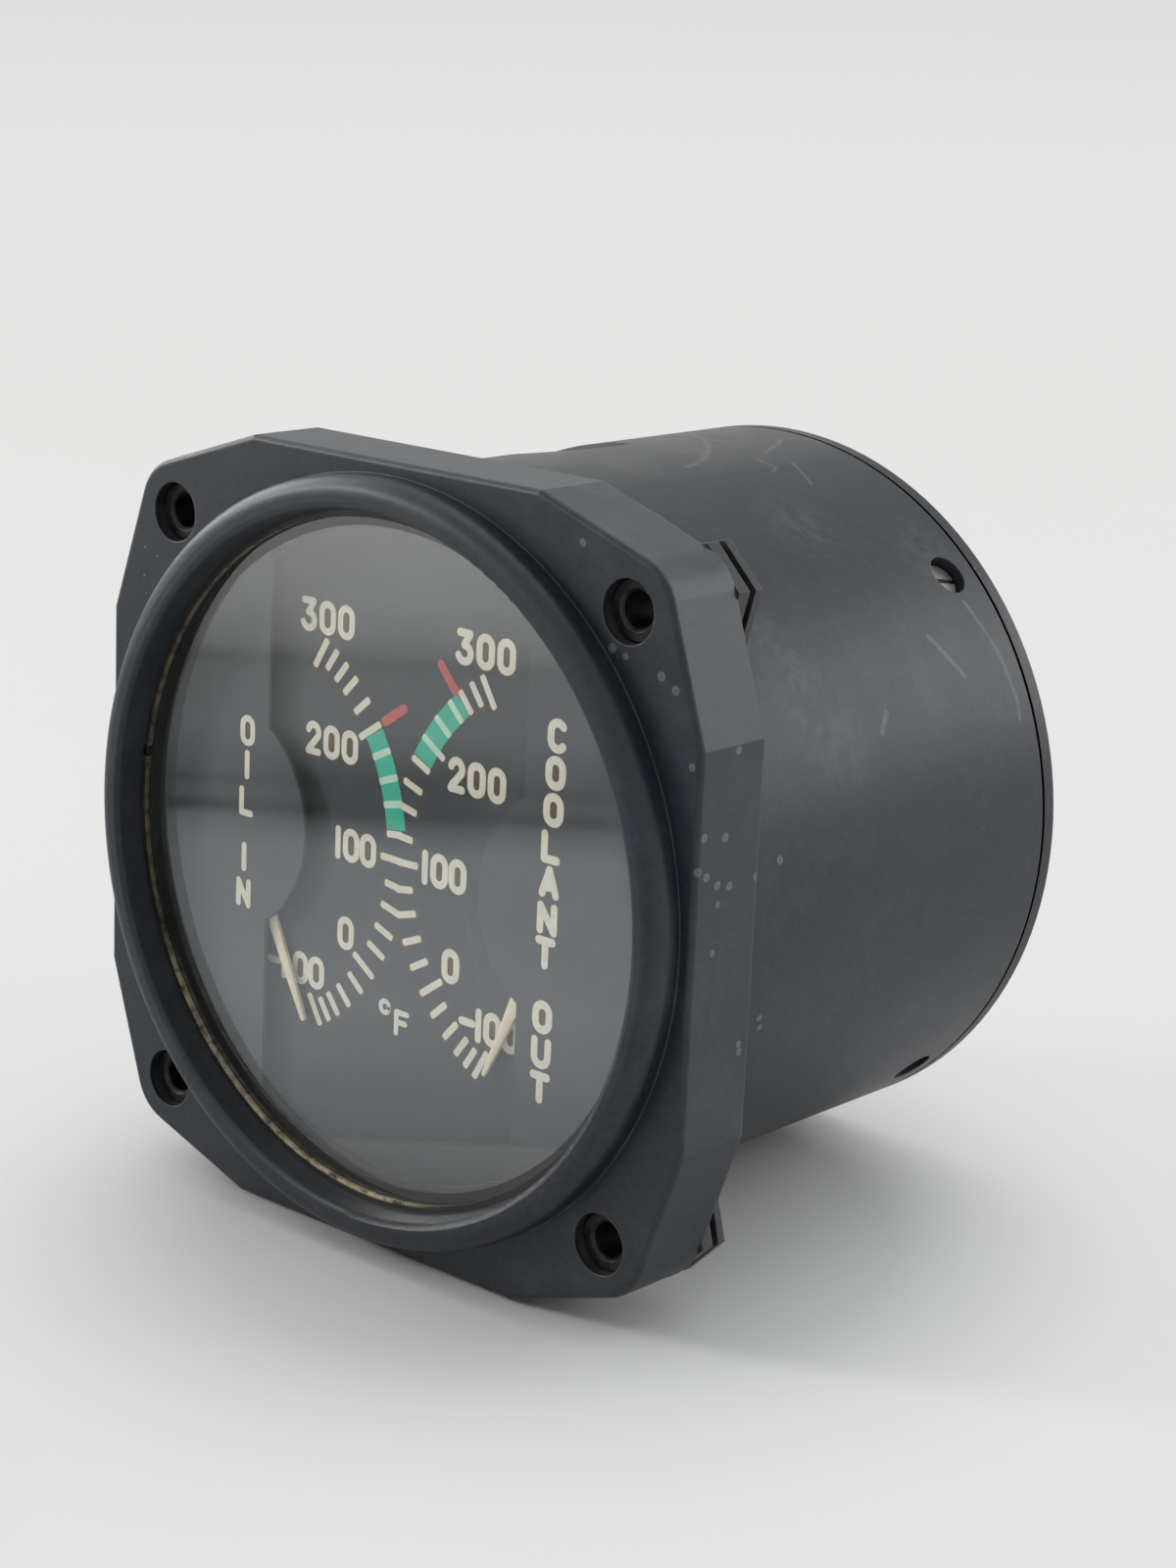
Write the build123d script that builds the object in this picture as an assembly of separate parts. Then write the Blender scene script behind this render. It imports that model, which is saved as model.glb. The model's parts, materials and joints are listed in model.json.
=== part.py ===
from build123d import *
import math
import os

# Dual temperature gauge in millimetres. The dial axis is Y, the front faces -Y and +Z is up.
# The origin is the centre of the front face of the flange.

# Case, all following from the bezel radius
bezel_r = 39.65
barrel_step = 0.45
barrel_r = bezel_r - barrel_step
barrel_wall = 3.2
barrel_bore_r = barrel_r - barrel_wall
case_end_y = 60.9
bezel_height = 3.45
bezel_round = 1.9
bezel_mouth_r = barrel_bore_r + 0.4
bezel_mouth_round = 0.65

# Flange and its inserts, set out from the barrel
insert_across_flats = 10.2
insert_barrel_gap = 0.147
hole_pitch_half = (barrel_r + insert_barrel_gap + insert_across_flats / 2) / math.sqrt(2)
hole_r = 3.15
hole_edge = 9.67
flange_side = 2 * (hole_pitch_half + hole_edge)
flange_depth = 9.2
flange_flat_half = hole_pitch_half - 11.63
flange_corner_r = 5.5
flange_edge_round = 0.6
insert_fit = 0.15
insert_r = hole_r - insert_fit
insert_front_y = 1.3
insert_bore_r = 1.81
insert_mouth_chamfer = 0.3
insert_head = 3.45
insert_head_chamfer = 0.6
insert_slot = 0.9
insert_slot_y = flange_depth + 2.05

# Window stack, front to rear
window_r = barrel_bore_r
groove_depth = 0.65
groove_r = window_r + groove_depth
groove_front_y = -0.35
ring_thickness = 0.5
ring_clearance = 0.05
ring_inner_r = window_r - 0.7
ring_split_angle = 172
ring_split_gap = 1.2
stack_clearance = 0.05
stack_r = window_r - 0.2
glass_front_y = groove_front_y + ring_thickness + stack_clearance
glass_thickness = 1.6
gasket_thickness = 0.5
gasket_inner_r = stack_r - 1.5
mask_front_y = glass_front_y + glass_thickness + gasket_thickness
mask_thickness = 0.4
spacer_height = 1.2
spacer_inner_r = stack_r - 1.8
dial_front_y = mask_front_y + mask_thickness + spacer_height
dial_thickness = 0.8
shelf_y = dial_front_y + dial_thickness
shelf_depth = 4.0
shelf_inner_r = window_r - shelf_depth
key_width = 1.6
key_depth = 0.9
key_clearance = 0.1

# Coil bobbins and crossed coils
magnet_r = 5.5
chamber_r = magnet_r + 0.8
bobbin_half = chamber_r + 1.9
bobbin_foot = 2.6
coil_gap_half = 1.6
coil_side_half = 5.0
coil_build = 1.95
coil_clearance = 0.05
coil_reach = bobbin_half + 2 * (coil_clearance + coil_build)
coil_case_gap = 0.64

# Movements, each as far out as its coils allow
pivot_x = barrel_bore_r - coil_case_gap - coil_reach
plate_clearance = 0.3
plate_r = barrel_bore_r - plate_clearance
plate_y = shelf_y + 2.3
plate_thickness = 2.0
staff_r = 0.6
staff_collar_r = 1.2
fit_clearance = 0.01
journal_clearance = 0.03
bush_r = staff_r + 1.0
hub_r = staff_r + 0.7
hub_hole_r = hub_r + 0.7
hub_length = 2.6
pointer_thickness = 0.4
pointer_mask_gap = 0.4
pointer_front_y = mask_front_y + mask_thickness + pointer_mask_gap
hub_front_y = pointer_front_y - 0.1
pointer_centre_gap = 0.56
pointer_length = pivot_x - pointer_centre_gap
pointer_root_width = 2.6
pointer_tip_width = 0.65
pointer_tail = 4.5
pointer_tail_width = 1.6
pointer_rest_angle = 63.5
bobbin_front_y = plate_y + plate_thickness + 6.0
magnet_y = bobbin_front_y + 3.0
magnet_length = 10.0
bobbin_split_y = magnet_y + magnet_length / 2
bobbin_rear_y = magnet_y + magnet_length + 3.0
chamber_clearance = 0.8

# Masks
mask_edge_x = pivot_x - 5.06
mask_bulge_x = pivot_x + 1.79
mask_bulge_r = 12.55

# Bridge, its pillars and the terminal board
bridge_y = bobbin_rear_y + 6.0
bridge_thickness = 2.0
bridge_r = barrel_bore_r - 2.0
bridge_half_height = bridge_r - 5.0
pillar_r = 2.0
pillar_tenon_r = 1.2
pillar_x = 9.0
pillar_z = bridge_half_height - 4.0
bridge_screw_r = 0.9
board_y = bridge_y + bridge_thickness + 6.0
board_thickness = 1.6
board_r = barrel_bore_r - 3.5
board_half_height = 18.0
post_r = 2.0
post_tenon_r = 1.0
post_x = 18.0
post_z = 13.0
small_screw_r = 0.8
resistor_x = 13.5
resistor_z = 7.5
resistor_r = 1.6
resistor_length = 8.0
resistor_span = 11.0
wire_r = 0.3
lead_r = 0.5

# Rear cover and its radial screws
seal_thickness = 0.35
seal_inset = 0.6
cover_y = case_end_y + seal_thickness
cover_rim = 2.0
cover_rear_y = cover_y + cover_rim
cover_wall = 3.0
cover_round = 0.4
spigot_clearance = 0.1
spigot_r = barrel_bore_r - spigot_clearance
spigot_wall = 2.9
spigot_inner_r = spigot_r - spigot_wall
spigot_front_y = case_end_y - 9.3
cover_screw_y = case_end_y - 4.5
cover_screw_angles = (45, 135, 225, 315)
cover_screw_seat_r = barrel_bore_r + 0.6
cover_screw_head_r = 2.05
cover_screw_head = 1.4
cover_screw_hole_r = cover_screw_head_r + 0.25
cover_screw_r = 1.1
cover_screw_slot = 0.55
slot_turn = -12

# Nameplate recess in the top of the barrel
recess_depth = 0.52
recess_front_y = 26.5
recess_rear_y = 39.5
recess_cove = 1.6
recess_centre_angle = 116
recess_half_angle = 22.5

# Rear receptacle
shell_flange = 26.0
shell_flange_thickness = 2.5
shell_r = 9.5
shell_bore_r = shell_r - 1.5
shell_length = 14.0
shell_inner_end_r = shell_r - 0.5
shell_inner_end_y = cover_y - 4.25
shell_screw_half = 9.6
shell_screw_r = 1.4
cover_port_r = shell_inner_end_r + 0.2
insulator_rear_y = cover_rear_y + 6.75
pin_r = 0.8
pin_circle_r = 5.0
pin_front_y = shell_inner_end_y - 3.0
pin_rear_y = insulator_rear_y + 4.3

NODES = {}


def add(name, shape):
    NODES[name] = shape


def disc(r, y0, y1, x=0.0, z=0.0):
    return Pos(x, (y0 + y1) / 2, z) * Rot(90, 0, 0) * Cylinder(r, y1 - y0)


def tube(r_out, r_in, y0, y1, x=0.0, z=0.0):
    return disc(r_out, y0, y1, x, z) - disc(r_in, y0 - 1, y1 + 1, x, z)


def block(x0, x1, y0, y1, z0, z1):
    centre = Pos((x0 + x1) / 2, (y0 + y1) / 2, (z0 + z1) / 2)
    return centre * Box(x1 - x0, y1 - y0, z1 - z0)


def radial(angle, y, r0, r1, radius):
    turn = Pos(0, y, 0) * Rot(0, 90 - angle, 0)
    return turn * Pos(0, 0, (r0 + r1) / 2) * Cylinder(radius, r1 - r0)


def sector(shape, rear_y, centre_angle, half_angle):
    reach = 2 * barrel_r
    corners = [(0, 0)]
    for step in (-1, 0, 1):
        a = math.radians(centre_angle + step * half_angle)
        corners.append((reach * math.cos(a), reach * math.sin(a)))
    wedge = extrude(Plane.XZ * make_face(Polyline(*corners, close=True)), -(rear_y + 1))
    return shape & wedge


def group(shapes):
    return Compound(children=[s.solid() if hasattr(s, "solid") else s for s in shapes])


def quarter_points(x, z):
    return [(x, z), (-x, z), (-x, -z), (x, -z)]


# Case body

def flange_outline():
    side = flange_side / 2
    to_hole = hole_pitch_half - flange_flat_half
    down = side - hole_pitch_half
    reach = math.hypot(to_hole, down)
    tangent = math.sqrt(reach ** 2 - flange_corner_r ** 2)
    slope = math.atan2(-down, to_hole) + math.asin(flange_corner_r / reach)
    p_flat = (flange_flat_half, side)
    p_arc = (flange_flat_half + tangent * math.cos(slope), side + tangent * math.sin(slope))
    mid = hole_pitch_half + flange_corner_r / math.sqrt(2)
    q_arc = (p_arc[1], p_arc[0])
    q_flat = (side, flange_flat_half)
    edges = []
    for turn in range(4):
        a = math.radians(-90 * turn)

        def spin(p):
            return (p[0] * math.cos(a) - p[1] * math.sin(a), p[0] * math.sin(a) + p[1] * math.cos(a))

        edges.append(Line(spin((-flange_flat_half, side)), spin(p_flat)))
        edges.append(Line(spin(p_flat), spin(p_arc)))
        edges.append(ThreePointArc(spin(p_arc), spin((mid, mid)), spin(q_arc)))
        edges.append(Line(spin(q_arc), spin(q_flat)))
    return make_face(Wire(edges))


def case_profile():
    crown_y = -bezel_height
    outer_arc_mid = bezel_round * (1 - math.sqrt(0.5))
    mouth_arc_mid = bezel_mouth_round * (1 - math.sqrt(0.5))
    join_y = flange_depth / 4
    a = (bezel_r, crown_y + bezel_round)
    b = (bezel_r - bezel_round, crown_y)
    c = (bezel_mouth_r + bezel_mouth_round, crown_y)
    d = (bezel_mouth_r, crown_y + bezel_mouth_round)
    groove_rear_y = groove_front_y + ring_thickness + ring_clearance
    edges = [
        Line((bezel_r, join_y), a),
        ThreePointArc(a, (bezel_r - outer_arc_mid, crown_y + outer_arc_mid), b),
        Line(b, c),
        ThreePointArc(c, (bezel_mouth_r + mouth_arc_mid, crown_y + mouth_arc_mid), d),
    ]
    inner = [
        d,
        (window_r, groove_front_y),
        (groove_r, groove_front_y),
        (groove_r, groove_rear_y),
        (window_r, groove_rear_y),
        (window_r, shelf_y),
        (shelf_inner_r, shelf_y),
        (shelf_inner_r, plate_y),
        (barrel_bore_r, plate_y),
        (barrel_bore_r, case_end_y),
        (barrel_r, case_end_y),
        (barrel_r, join_y),
        (bezel_r, join_y),
    ]
    edges.extend(Line(p, q) for p, q in zip(inner, inner[1:]))
    return make_face(Wire(edges))


def recess_profile():
    floor_r = barrel_r - recess_depth
    cove_y = recess_rear_y - recess_cove
    sweep_r = (recess_depth ** 2 + recess_cove ** 2) / (2 * recess_depth)
    rise = sweep_r - math.sqrt(sweep_r ** 2 - recess_cove ** 2 / 4)
    edges = [
        Line((barrel_r + 1, recess_front_y), (barrel_r, recess_front_y)),
        Line((barrel_r, recess_front_y), (floor_r, cove_y)),
        ThreePointArc((floor_r, cove_y), (floor_r + rise, cove_y + recess_cove / 2), (barrel_r, recess_rear_y)),
        Line((barrel_r, recess_rear_y), (barrel_r + 1, recess_rear_y)),
        Line((barrel_r + 1, recess_rear_y), (barrel_r + 1, recess_front_y)),
    ]
    return make_face(Wire(edges))


def case_body():
    flange = extrude(Plane.XZ * flange_outline(), -flange_depth)
    front_edges = flange.edges().group_by(Axis.Y)[0]
    flange = fillet(front_edges, flange_edge_round)
    flange -= disc((barrel_bore_r + barrel_r) / 2, -1, flange_depth + 1)
    case = revolve(case_profile(), Axis.Y) + flange
    for x, z in quarter_points(hole_pitch_half, hole_pitch_half):
        case -= disc(hole_r, -1, flange_depth + 1, x, z)
    for angle in cover_screw_angles:
        case -= radial(angle, cover_screw_y, cover_screw_seat_r, barrel_r + 2, cover_screw_hole_r)
        case -= radial(angle, cover_screw_y, barrel_bore_r - 1, barrel_r, cover_screw_r + insert_fit)
    for x, z in plate_screw_points():
        case -= disc(small_screw_r + fit_clearance, shelf_y + 0.6, plate_y + 1, x, z)
    case -= sector(revolve(recess_profile(), Axis.Y), recess_rear_y, recess_centre_angle, recess_half_angle)
    key_half = key_width / 2
    for side in (-1, 1):
        x0 = window_r - key_depth
        x1 = window_r + 0.5
        key_front = mask_front_y + key_clearance
        case += block(min(side * x0, side * x1), max(side * x0, side * x1), key_front, shelf_y, -key_half, key_half)
    return case


def plate_screw_points():
    r = (shelf_inner_r + barrel_bore_r) / 2
    return [(r * math.cos(math.radians(a)), r * math.sin(math.radians(a))) for a in (60, 120, 240, 300)]


# Window stack

def key_notches(shape, y0, y1):
    half = key_width / 2 + key_clearance
    for side in (-1, 1):
        x0 = window_r - key_depth - key_clearance
        x1 = window_r + 1
        shape -= block(min(side * x0, side * x1), max(side * x0, side * x1), y0 - 1, y1 + 1, -half, half)
    return shape


def retaining_ring():
    ring = tube(groove_r - ring_clearance, ring_inner_r, groove_front_y, groove_front_y + ring_thickness)
    cut = block(ring_inner_r - 2, groove_r + 2, groove_front_y - 1, 2, -ring_split_gap / 2, ring_split_gap / 2)
    return ring - Rot(0, -ring_split_angle, 0) * cut


def mask(side):
    y1 = mask_front_y + mask_thickness
    edge = block(mask_edge_x, stack_r + 1, mask_front_y, y1, -stack_r, stack_r)
    bulge = disc(mask_bulge_r, mask_front_y, y1, mask_bulge_x, 0)
    shape = (edge + bulge) & disc(stack_r, mask_front_y, y1)
    shape = key_notches(shape, mask_front_y, y1)
    return shape if side > 0 else mirror(shape, Plane.YZ)


def dial_plate():
    plate = disc(stack_r, dial_front_y, shelf_y)
    for side in (-1, 1):
        plate -= disc(hub_hole_r, dial_front_y - 1, shelf_y + 1, side * pivot_x, 0)
    return key_notches(plate, dial_front_y, shelf_y)


def window_stack():
    glass_rear = glass_front_y + glass_thickness
    add("retaining_ring", retaining_ring())
    add("cover_glass", disc(stack_r, glass_front_y, glass_rear))
    add("glass_gasket", tube(stack_r, gasket_inner_r, glass_rear, mask_front_y))
    add("oil_mask", mask(-1))
    add("coolant_mask", mask(1))
    spacer_front = mask_front_y + mask_thickness
    spacer = tube(stack_r, spacer_inner_r, spacer_front, dial_front_y)
    add("mask_spacer", key_notches(spacer, spacer_front, dial_front_y))
    add("dial_plate", dial_plate())


# Pointers, staffs and magnets

def pointer(side):
    y0 = pointer_front_y
    y1 = y0 + pointer_thickness
    root = pointer_root_width / 2
    tip = pointer_tip_width / 2
    tail = pointer_tail_width / 2
    arm_end = pointer_length - tip
    corners = [(0, root), (-pointer_tail, tail), (-pointer_tail, -tail), (0, -root), (arm_end, -tip), (arm_end, tip)]
    blade = extrude(Plane.XZ * make_face(Polyline(*corners, close=True)), -y1)
    blade -= disc(2 * pointer_length, -1, y0)
    blade += disc(tip, y0, y1, arm_end, 0)
    hub = disc(hub_r, hub_front_y, hub_front_y + hub_length)
    shape = blade + hub - disc(staff_r + fit_clearance, -1, 20)
    shape = Rot(0, pointer_rest_angle, 0) * shape
    if side > 0:
        shape = mirror(shape, Plane.YZ)
    return Pos(side * pivot_x, 0, 0) * shape


def staff(side):
    x = side * pivot_x
    rear = bridge_y + bridge_thickness + 0.2
    front_collar = plate_y + plate_thickness + 0.4
    rear_collar = bridge_y - 0.8
    shape = disc(staff_r, hub_front_y, rear, x, 0)
    shape += disc(staff_collar_r, front_collar, front_collar + 0.5, x, 0)
    shape += disc(staff_collar_r, rear_collar, rear_collar + 0.4, x, 0)
    return shape


def turning_parts():
    for label, side in (("oil", -1), ("coolant", 1)):
        x = side * pivot_x
        add(label + "_pointer", pointer(side))
        add(label + "_staff", staff(side))
        add(label + "_magnet", tube(magnet_r, staff_r + fit_clearance, magnet_y, magnet_y + magnet_length, x, 0))


# Movement frame

def movement_plate():
    rear = plate_y + plate_thickness
    plate = disc(plate_r, plate_y, rear)
    for side in (-1, 1):
        plate -= disc(bush_r + fit_clearance, plate_y - 1, rear + 1, side * pivot_x, 0)
    for x, z in plate_screw_points():
        plate -= disc(small_screw_r + 0.1, plate_y - 1, rear + 1, x, z)
    for x, z in quarter_points(pillar_x, pillar_z):
        plate -= disc(pillar_tenon_r + fit_clearance, plate_y - 1, rear + 1, x, z)
    return plate


def lead_points():
    points = []
    for side in (-1, 1):
        for inner in (-1, 1):
            out = inner * (bobbin_half - 0.7)
            mid = (coil_gap_half + coil_side_half) / 2
            points.append((side * pivot_x + out, mid, bobbin_rear_y + coil_build + coil_clearance))
            points.append((side * pivot_x + mid, out, bobbin_rear_y + 2 * (coil_build + coil_clearance)))
    return points


def bridge_plate():
    rear = bridge_y + bridge_thickness
    plate = disc(bridge_r, bridge_y, rear)
    plate &= block(-bridge_r, bridge_r, bridge_y, rear, -bridge_half_height, bridge_half_height)
    for side in (-1, 1):
        plate -= disc(bush_r + fit_clearance, bridge_y - 1, rear + 1, side * pivot_x, 0)
    for x, z in quarter_points(pillar_x, pillar_z):
        plate -= disc(bridge_screw_r + 0.05, bridge_y - 1, rear + 1, x, z)
    for x, z in quarter_points(post_x, post_z):
        plate -= disc(post_tenon_r + fit_clearance, bridge_y - 1, rear + 1, x, z)
    for x, z, _ in lead_points():
        plate -= disc(wire_r + 0.5, bridge_y - 1, rear + 1, x, z)
    return plate


def screw(x, z, seat_y, shank_r, shank_end_y):
    head_r = 1.9 * shank_r
    head = 1.4 * shank_r
    slot = 0.3 * shank_r
    head_rear = seat_y + head
    shape = disc(head_r, seat_y, head_rear, x, z) + disc(shank_r, shank_end_y, seat_y, x, z)
    return shape - block(x - head_r, x + head_r, head_rear - head / 2, head_rear + 1, z - slot, z + slot)


def pillar(x, z):
    plate_rear = plate_y + plate_thickness
    shape = disc(pillar_r, plate_rear, bridge_y, x, z) + disc(pillar_tenon_r, plate_y + 0.2, plate_rear, x, z)
    return shape - disc(bridge_screw_r + fit_clearance, bridge_y - 5, bridge_y + 1, x, z)


def movement_frame():
    plate_rear = plate_y + plate_thickness
    bridge_rear = bridge_y + bridge_thickness
    bore = staff_r + journal_clearance
    pillars = quarter_points(pillar_x, pillar_z)
    add("movement_plate", movement_plate())
    shelf_screws = [screw(x, z, plate_rear, small_screw_r, shelf_y + 0.8) for x, z in plate_screw_points()]
    add("movement_screws", group(shelf_screws))
    add("front_bearings", group([tube(bush_r, bore, plate_y - 0.4, plate_rear, s * pivot_x, 0) for s in (-1, 1)]))
    add("rear_bearings", group([tube(bush_r, bore, bridge_y, bridge_rear + 0.4, s * pivot_x, 0) for s in (-1, 1)]))
    add("bridge_plate", bridge_plate())
    add("bridge_pillars", group([pillar(x, z) for x, z in pillars]))
    add("bridge_screws", group([screw(x, z, bridge_rear, bridge_screw_r, bridge_y - 4) for x, z in pillars]))


# Coil bobbins and crossed coils

def bobbin_half_shell(x, y0, y1, foot_end_y):
    shape = block(x - bobbin_half, x + bobbin_half, y0, y1, -bobbin_half, bobbin_half)
    chamber_front = magnet_y - chamber_clearance
    chamber_rear = magnet_y + magnet_length + chamber_clearance
    shape -= disc(chamber_r, chamber_front, chamber_rear, x, 0)
    shape -= disc(1.5, y0 - 1, y1 + 1, x, 0)
    outer = bobbin_half
    inner = bobbin_half - bobbin_foot
    foot0, foot1 = (foot_end_y, y0) if foot_end_y < y0 else (y1, foot_end_y)
    for sx in (-1, 1):
        for sz in (-1, 1):
            xs = sorted((x + sx * inner, x + sx * outer))
            zs = sorted((sz * inner, sz * outer))
            shape += block(xs[0], xs[1], foot0, foot1, zs[0], zs[1])
    return shape


def coil_pair(x, along_x, layer):
    gap = coil_clearance + layer * (coil_build + coil_clearance)
    y0 = bobbin_front_y - gap
    y1 = bobbin_rear_y + gap
    reach_in = bobbin_half + coil_clearance
    reach_out = reach_in + coil_build
    loops = []
    for s in (-1, 1):
        w0, w1 = sorted((s * coil_gap_half, s * coil_side_half))
        if along_x:
            loop = block(x - reach_out, x + reach_out, y0 - coil_build, y1 + coil_build, w0, w1)
            loop -= block(x - reach_in, x + reach_in, y0, y1, w0 - 1, w1 + 1)
        else:
            loop = block(x + w0, x + w1, y0 - coil_build, y1 + coil_build, -reach_out, reach_out)
            loop -= block(x + w0 - 1, x + w1 + 1, y0, y1, -reach_in, reach_in)
        loops.append(loop)
    return group(loops)


def coils():
    for label, side in (("oil", -1), ("coolant", 1)):
        x = side * pivot_x
        plate_rear = plate_y + plate_thickness
        add(label + "_bobbin_front", bobbin_half_shell(x, bobbin_front_y, bobbin_split_y, plate_rear))
        add(label + "_bobbin_rear", bobbin_half_shell(x, bobbin_split_y, bobbin_rear_y, bridge_y))
        add(label + "_inner_coil", coil_pair(x, True, 0))
        add(label + "_outer_coil", coil_pair(x, False, 1))


# Terminal board and wiring

def pin_points():
    points = [(0.0, 0.0)]
    for i in range(6):
        a = math.radians(60 * i + 30)
        points.append((pin_circle_r * math.cos(a), pin_circle_r * math.sin(a)))
    return points


def terminal_board():
    rear = board_y + board_thickness
    board = disc(board_r, board_y, rear)
    board &= block(-board_r, board_r, board_y, rear, -board_half_height, board_half_height)
    for x, z in quarter_points(post_x, post_z):
        board -= disc(small_screw_r + 0.1, board_y - 1, rear + 1, x, z)
    for x, z, _ in lead_points():
        board -= disc(wire_r + fit_clearance, board_y - 1, rear + 1, x, z)
    for x, z in pin_points():
        board -= disc(lead_r + fit_clearance, board_y - 1, rear + 1, x, z)
    return board


def board_post(x, z):
    bridge_rear = bridge_y + bridge_thickness
    shape = disc(post_r, bridge_rear, board_y, x, z) + disc(post_tenon_r, bridge_y + 0.4, bridge_rear, x, z)
    return shape - disc(small_screw_r + fit_clearance, board_y - 4, board_y + 1, x, z)


def resistor(x, z):
    board_rear = board_y + board_thickness
    y = board_rear + resistor_r + wire_r
    body = Pos(x, y, z) * Rot(0, 90, 0) * Cylinder(resistor_r, resistor_length)
    wire = Pos(x, y, z) * Rot(0, 90, 0) * Cylinder(wire_r, resistor_span)
    shape = body + wire
    for s in (-1, 1):
        shape += disc(wire_r, board_rear, y + wire_r, x + s * resistor_span / 2, z)
    return shape


def wiring():
    board_rear = board_y + board_thickness
    add("terminal_board", terminal_board())
    posts = quarter_points(post_x, post_z)
    add("board_standoffs", group([board_post(x, z) for x, z in posts]))
    add("board_screws", group([screw(x, z, board_rear, small_screw_r, board_y - 3) for x, z in posts]))
    add("resistors", group([resistor(x, z) for x, z in quarter_points(resistor_x, resistor_z)]))
    add("coil_leads", group([disc(wire_r, y, board_rear + 0.5, x, z) for x, z, y in lead_points()]))
    add("connector_leads", group([disc(lead_r, board_y - 0.5, pin_front_y, x, z) for x, z in pin_points()]))


# Rear cover, its seal and its screws

def rear_cover():
    inner_y = cover_rear_y - cover_wall
    arc_mid = cover_round * (1 - math.sqrt(0.5))
    a = (barrel_r, cover_rear_y - cover_round)
    b = (barrel_r - cover_round, cover_rear_y)
    points = [
        b,
        (cover_port_r, cover_rear_y),
        (cover_port_r, inner_y),
        (spigot_inner_r, inner_y),
        (spigot_inner_r, spigot_front_y),
        (spigot_r, spigot_front_y),
        (spigot_r, cover_y),
        (barrel_r, cover_y),
        a,
    ]
    edges = [Line(p, q) for p, q in zip(points, points[1:])]
    edges.append(ThreePointArc(a, (barrel_r - arc_mid, cover_rear_y - arc_mid), b))
    cover = revolve(make_face(Wire(edges)), Axis.Y)
    for angle in cover_screw_angles:
        cover -= radial(angle, cover_screw_y, spigot_inner_r - 1, barrel_r, cover_screw_r + fit_clearance)
    for x, z in quarter_points(shell_screw_half, shell_screw_half):
        cover -= disc(shell_screw_r + fit_clearance, inner_y + 0.4, cover_rear_y + 1, x, z)
    return cover


def cover_screw(angle):
    head_top = cover_screw_seat_r + cover_screw_head
    shape = radial(angle, cover_screw_y, cover_screw_seat_r, head_top, cover_screw_head_r)
    shape += radial(angle, cover_screw_y, spigot_inner_r + 0.3, cover_screw_seat_r, cover_screw_r)
    slot = Pos(0, 0, head_top) * Rot(0, 0, slot_turn) * Box(cover_screw_slot, 3 * cover_screw_head_r, 0.85 * cover_screw_head)
    return shape - Pos(0, cover_screw_y, 0) * Rot(0, 90 - angle, 0) * slot


def cover_parts():
    add("rear_cover", rear_cover())
    add("cover_seal", tube(barrel_r - seal_inset, spigot_r + seal_inset, case_end_y, cover_y))
    add("cover_screws", group([cover_screw(a) for a in cover_screw_angles]))


# Flange inserts

def mount_insert(x, z):
    angle = math.degrees(math.atan2(z, x))
    rear = flange_depth + insert_head
    corner_r = insert_across_flats / math.sqrt(3)
    hexagon = Plane.XZ * (Pos(x, z) * RegularPolygon(corner_r, 6, rotation=angle - 30))
    head = extrude(hexagon, -rear) - block(-99, 99, -1, flange_depth, -99, 99)
    head &= Pos(x, 0, z) * revolve(insert_head_profile(corner_r, rear), Axis.Y)
    shape = head + disc(insert_r, insert_front_y, flange_depth, x, z)
    shape -= disc(insert_bore_r, 0, rear + 1, x, z)
    shape -= Pos(x, 0, z) * revolve(insert_mouth_profile(), Axis.Y)
    cut = block(0.6, insert_across_flats, insert_slot_y - insert_slot / 2, insert_slot_y + insert_slot / 2, -9, 9)
    return shape - Pos(x, 0, z) * Rot(0, -angle, 0) * cut


def insert_head_profile(corner_r, rear):
    rise = insert_head_chamfer
    points = [
        (0, flange_depth),
        (corner_r + 1, flange_depth),
        (corner_r + 1, rear - rise - 1),
        (corner_r + 1, rear - rise + 0.6),
        (corner_r - 2 * rise, rear),
        (0, rear),
    ]
    return make_face(Polyline(*points, close=True))


def insert_mouth_profile():
    wide = insert_bore_r + insert_mouth_chamfer
    points = [
        (0, insert_front_y - 1),
        (wide, insert_front_y - 1),
        (wide, insert_front_y),
        (insert_bore_r, insert_front_y + insert_mouth_chamfer),
        (0, insert_front_y + insert_mouth_chamfer),
    ]
    return make_face(Polyline(*points, close=True))


# Rear receptacle

def connector_shell():
    half = shell_flange / 2
    flange_rear = cover_rear_y + shell_flange_thickness
    plate = block(-half, half, cover_rear_y, flange_rear, -half, half)
    plate = fillet(plate.edges().filter_by(Axis.Y), 3.0)
    shell = plate + disc(shell_r, cover_rear_y, flange_rear + shell_length)
    shell += disc(shell_inner_end_r, shell_inner_end_y, cover_rear_y)
    shell -= disc(shell_bore_r, 0, 99)
    for x, z in quarter_points(shell_screw_half, shell_screw_half):
        shell -= disc(shell_screw_r + 0.1, cover_y - 1, flange_rear + 1, x, z)
    key_top = shell_bore_r + 0.5
    return shell + block(-0.7, 0.7, insulator_rear_y + 0.5, flange_rear + shell_length - 1, key_top - 1.3, key_top)


def receptacle():
    flange_rear = cover_rear_y + shell_flange_thickness
    insulator = disc(shell_bore_r - fit_clearance, shell_inner_end_y + 0.2, insulator_rear_y)
    for x, z in pin_points():
        insulator -= disc(pin_r + fit_clearance, 0, 99, x, z)
    corners = quarter_points(shell_screw_half, shell_screw_half)
    add("connector_shell", connector_shell())
    add("connector_insulator", insulator)
    add("connector_pins", group([disc(pin_r, pin_front_y, pin_rear_y, x, z) for x, z in pin_points()]))
    add("connector_screws", group([screw(x, z, flange_rear, shell_screw_r, cover_rear_y - 2.2) for x, z in corners]))


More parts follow.
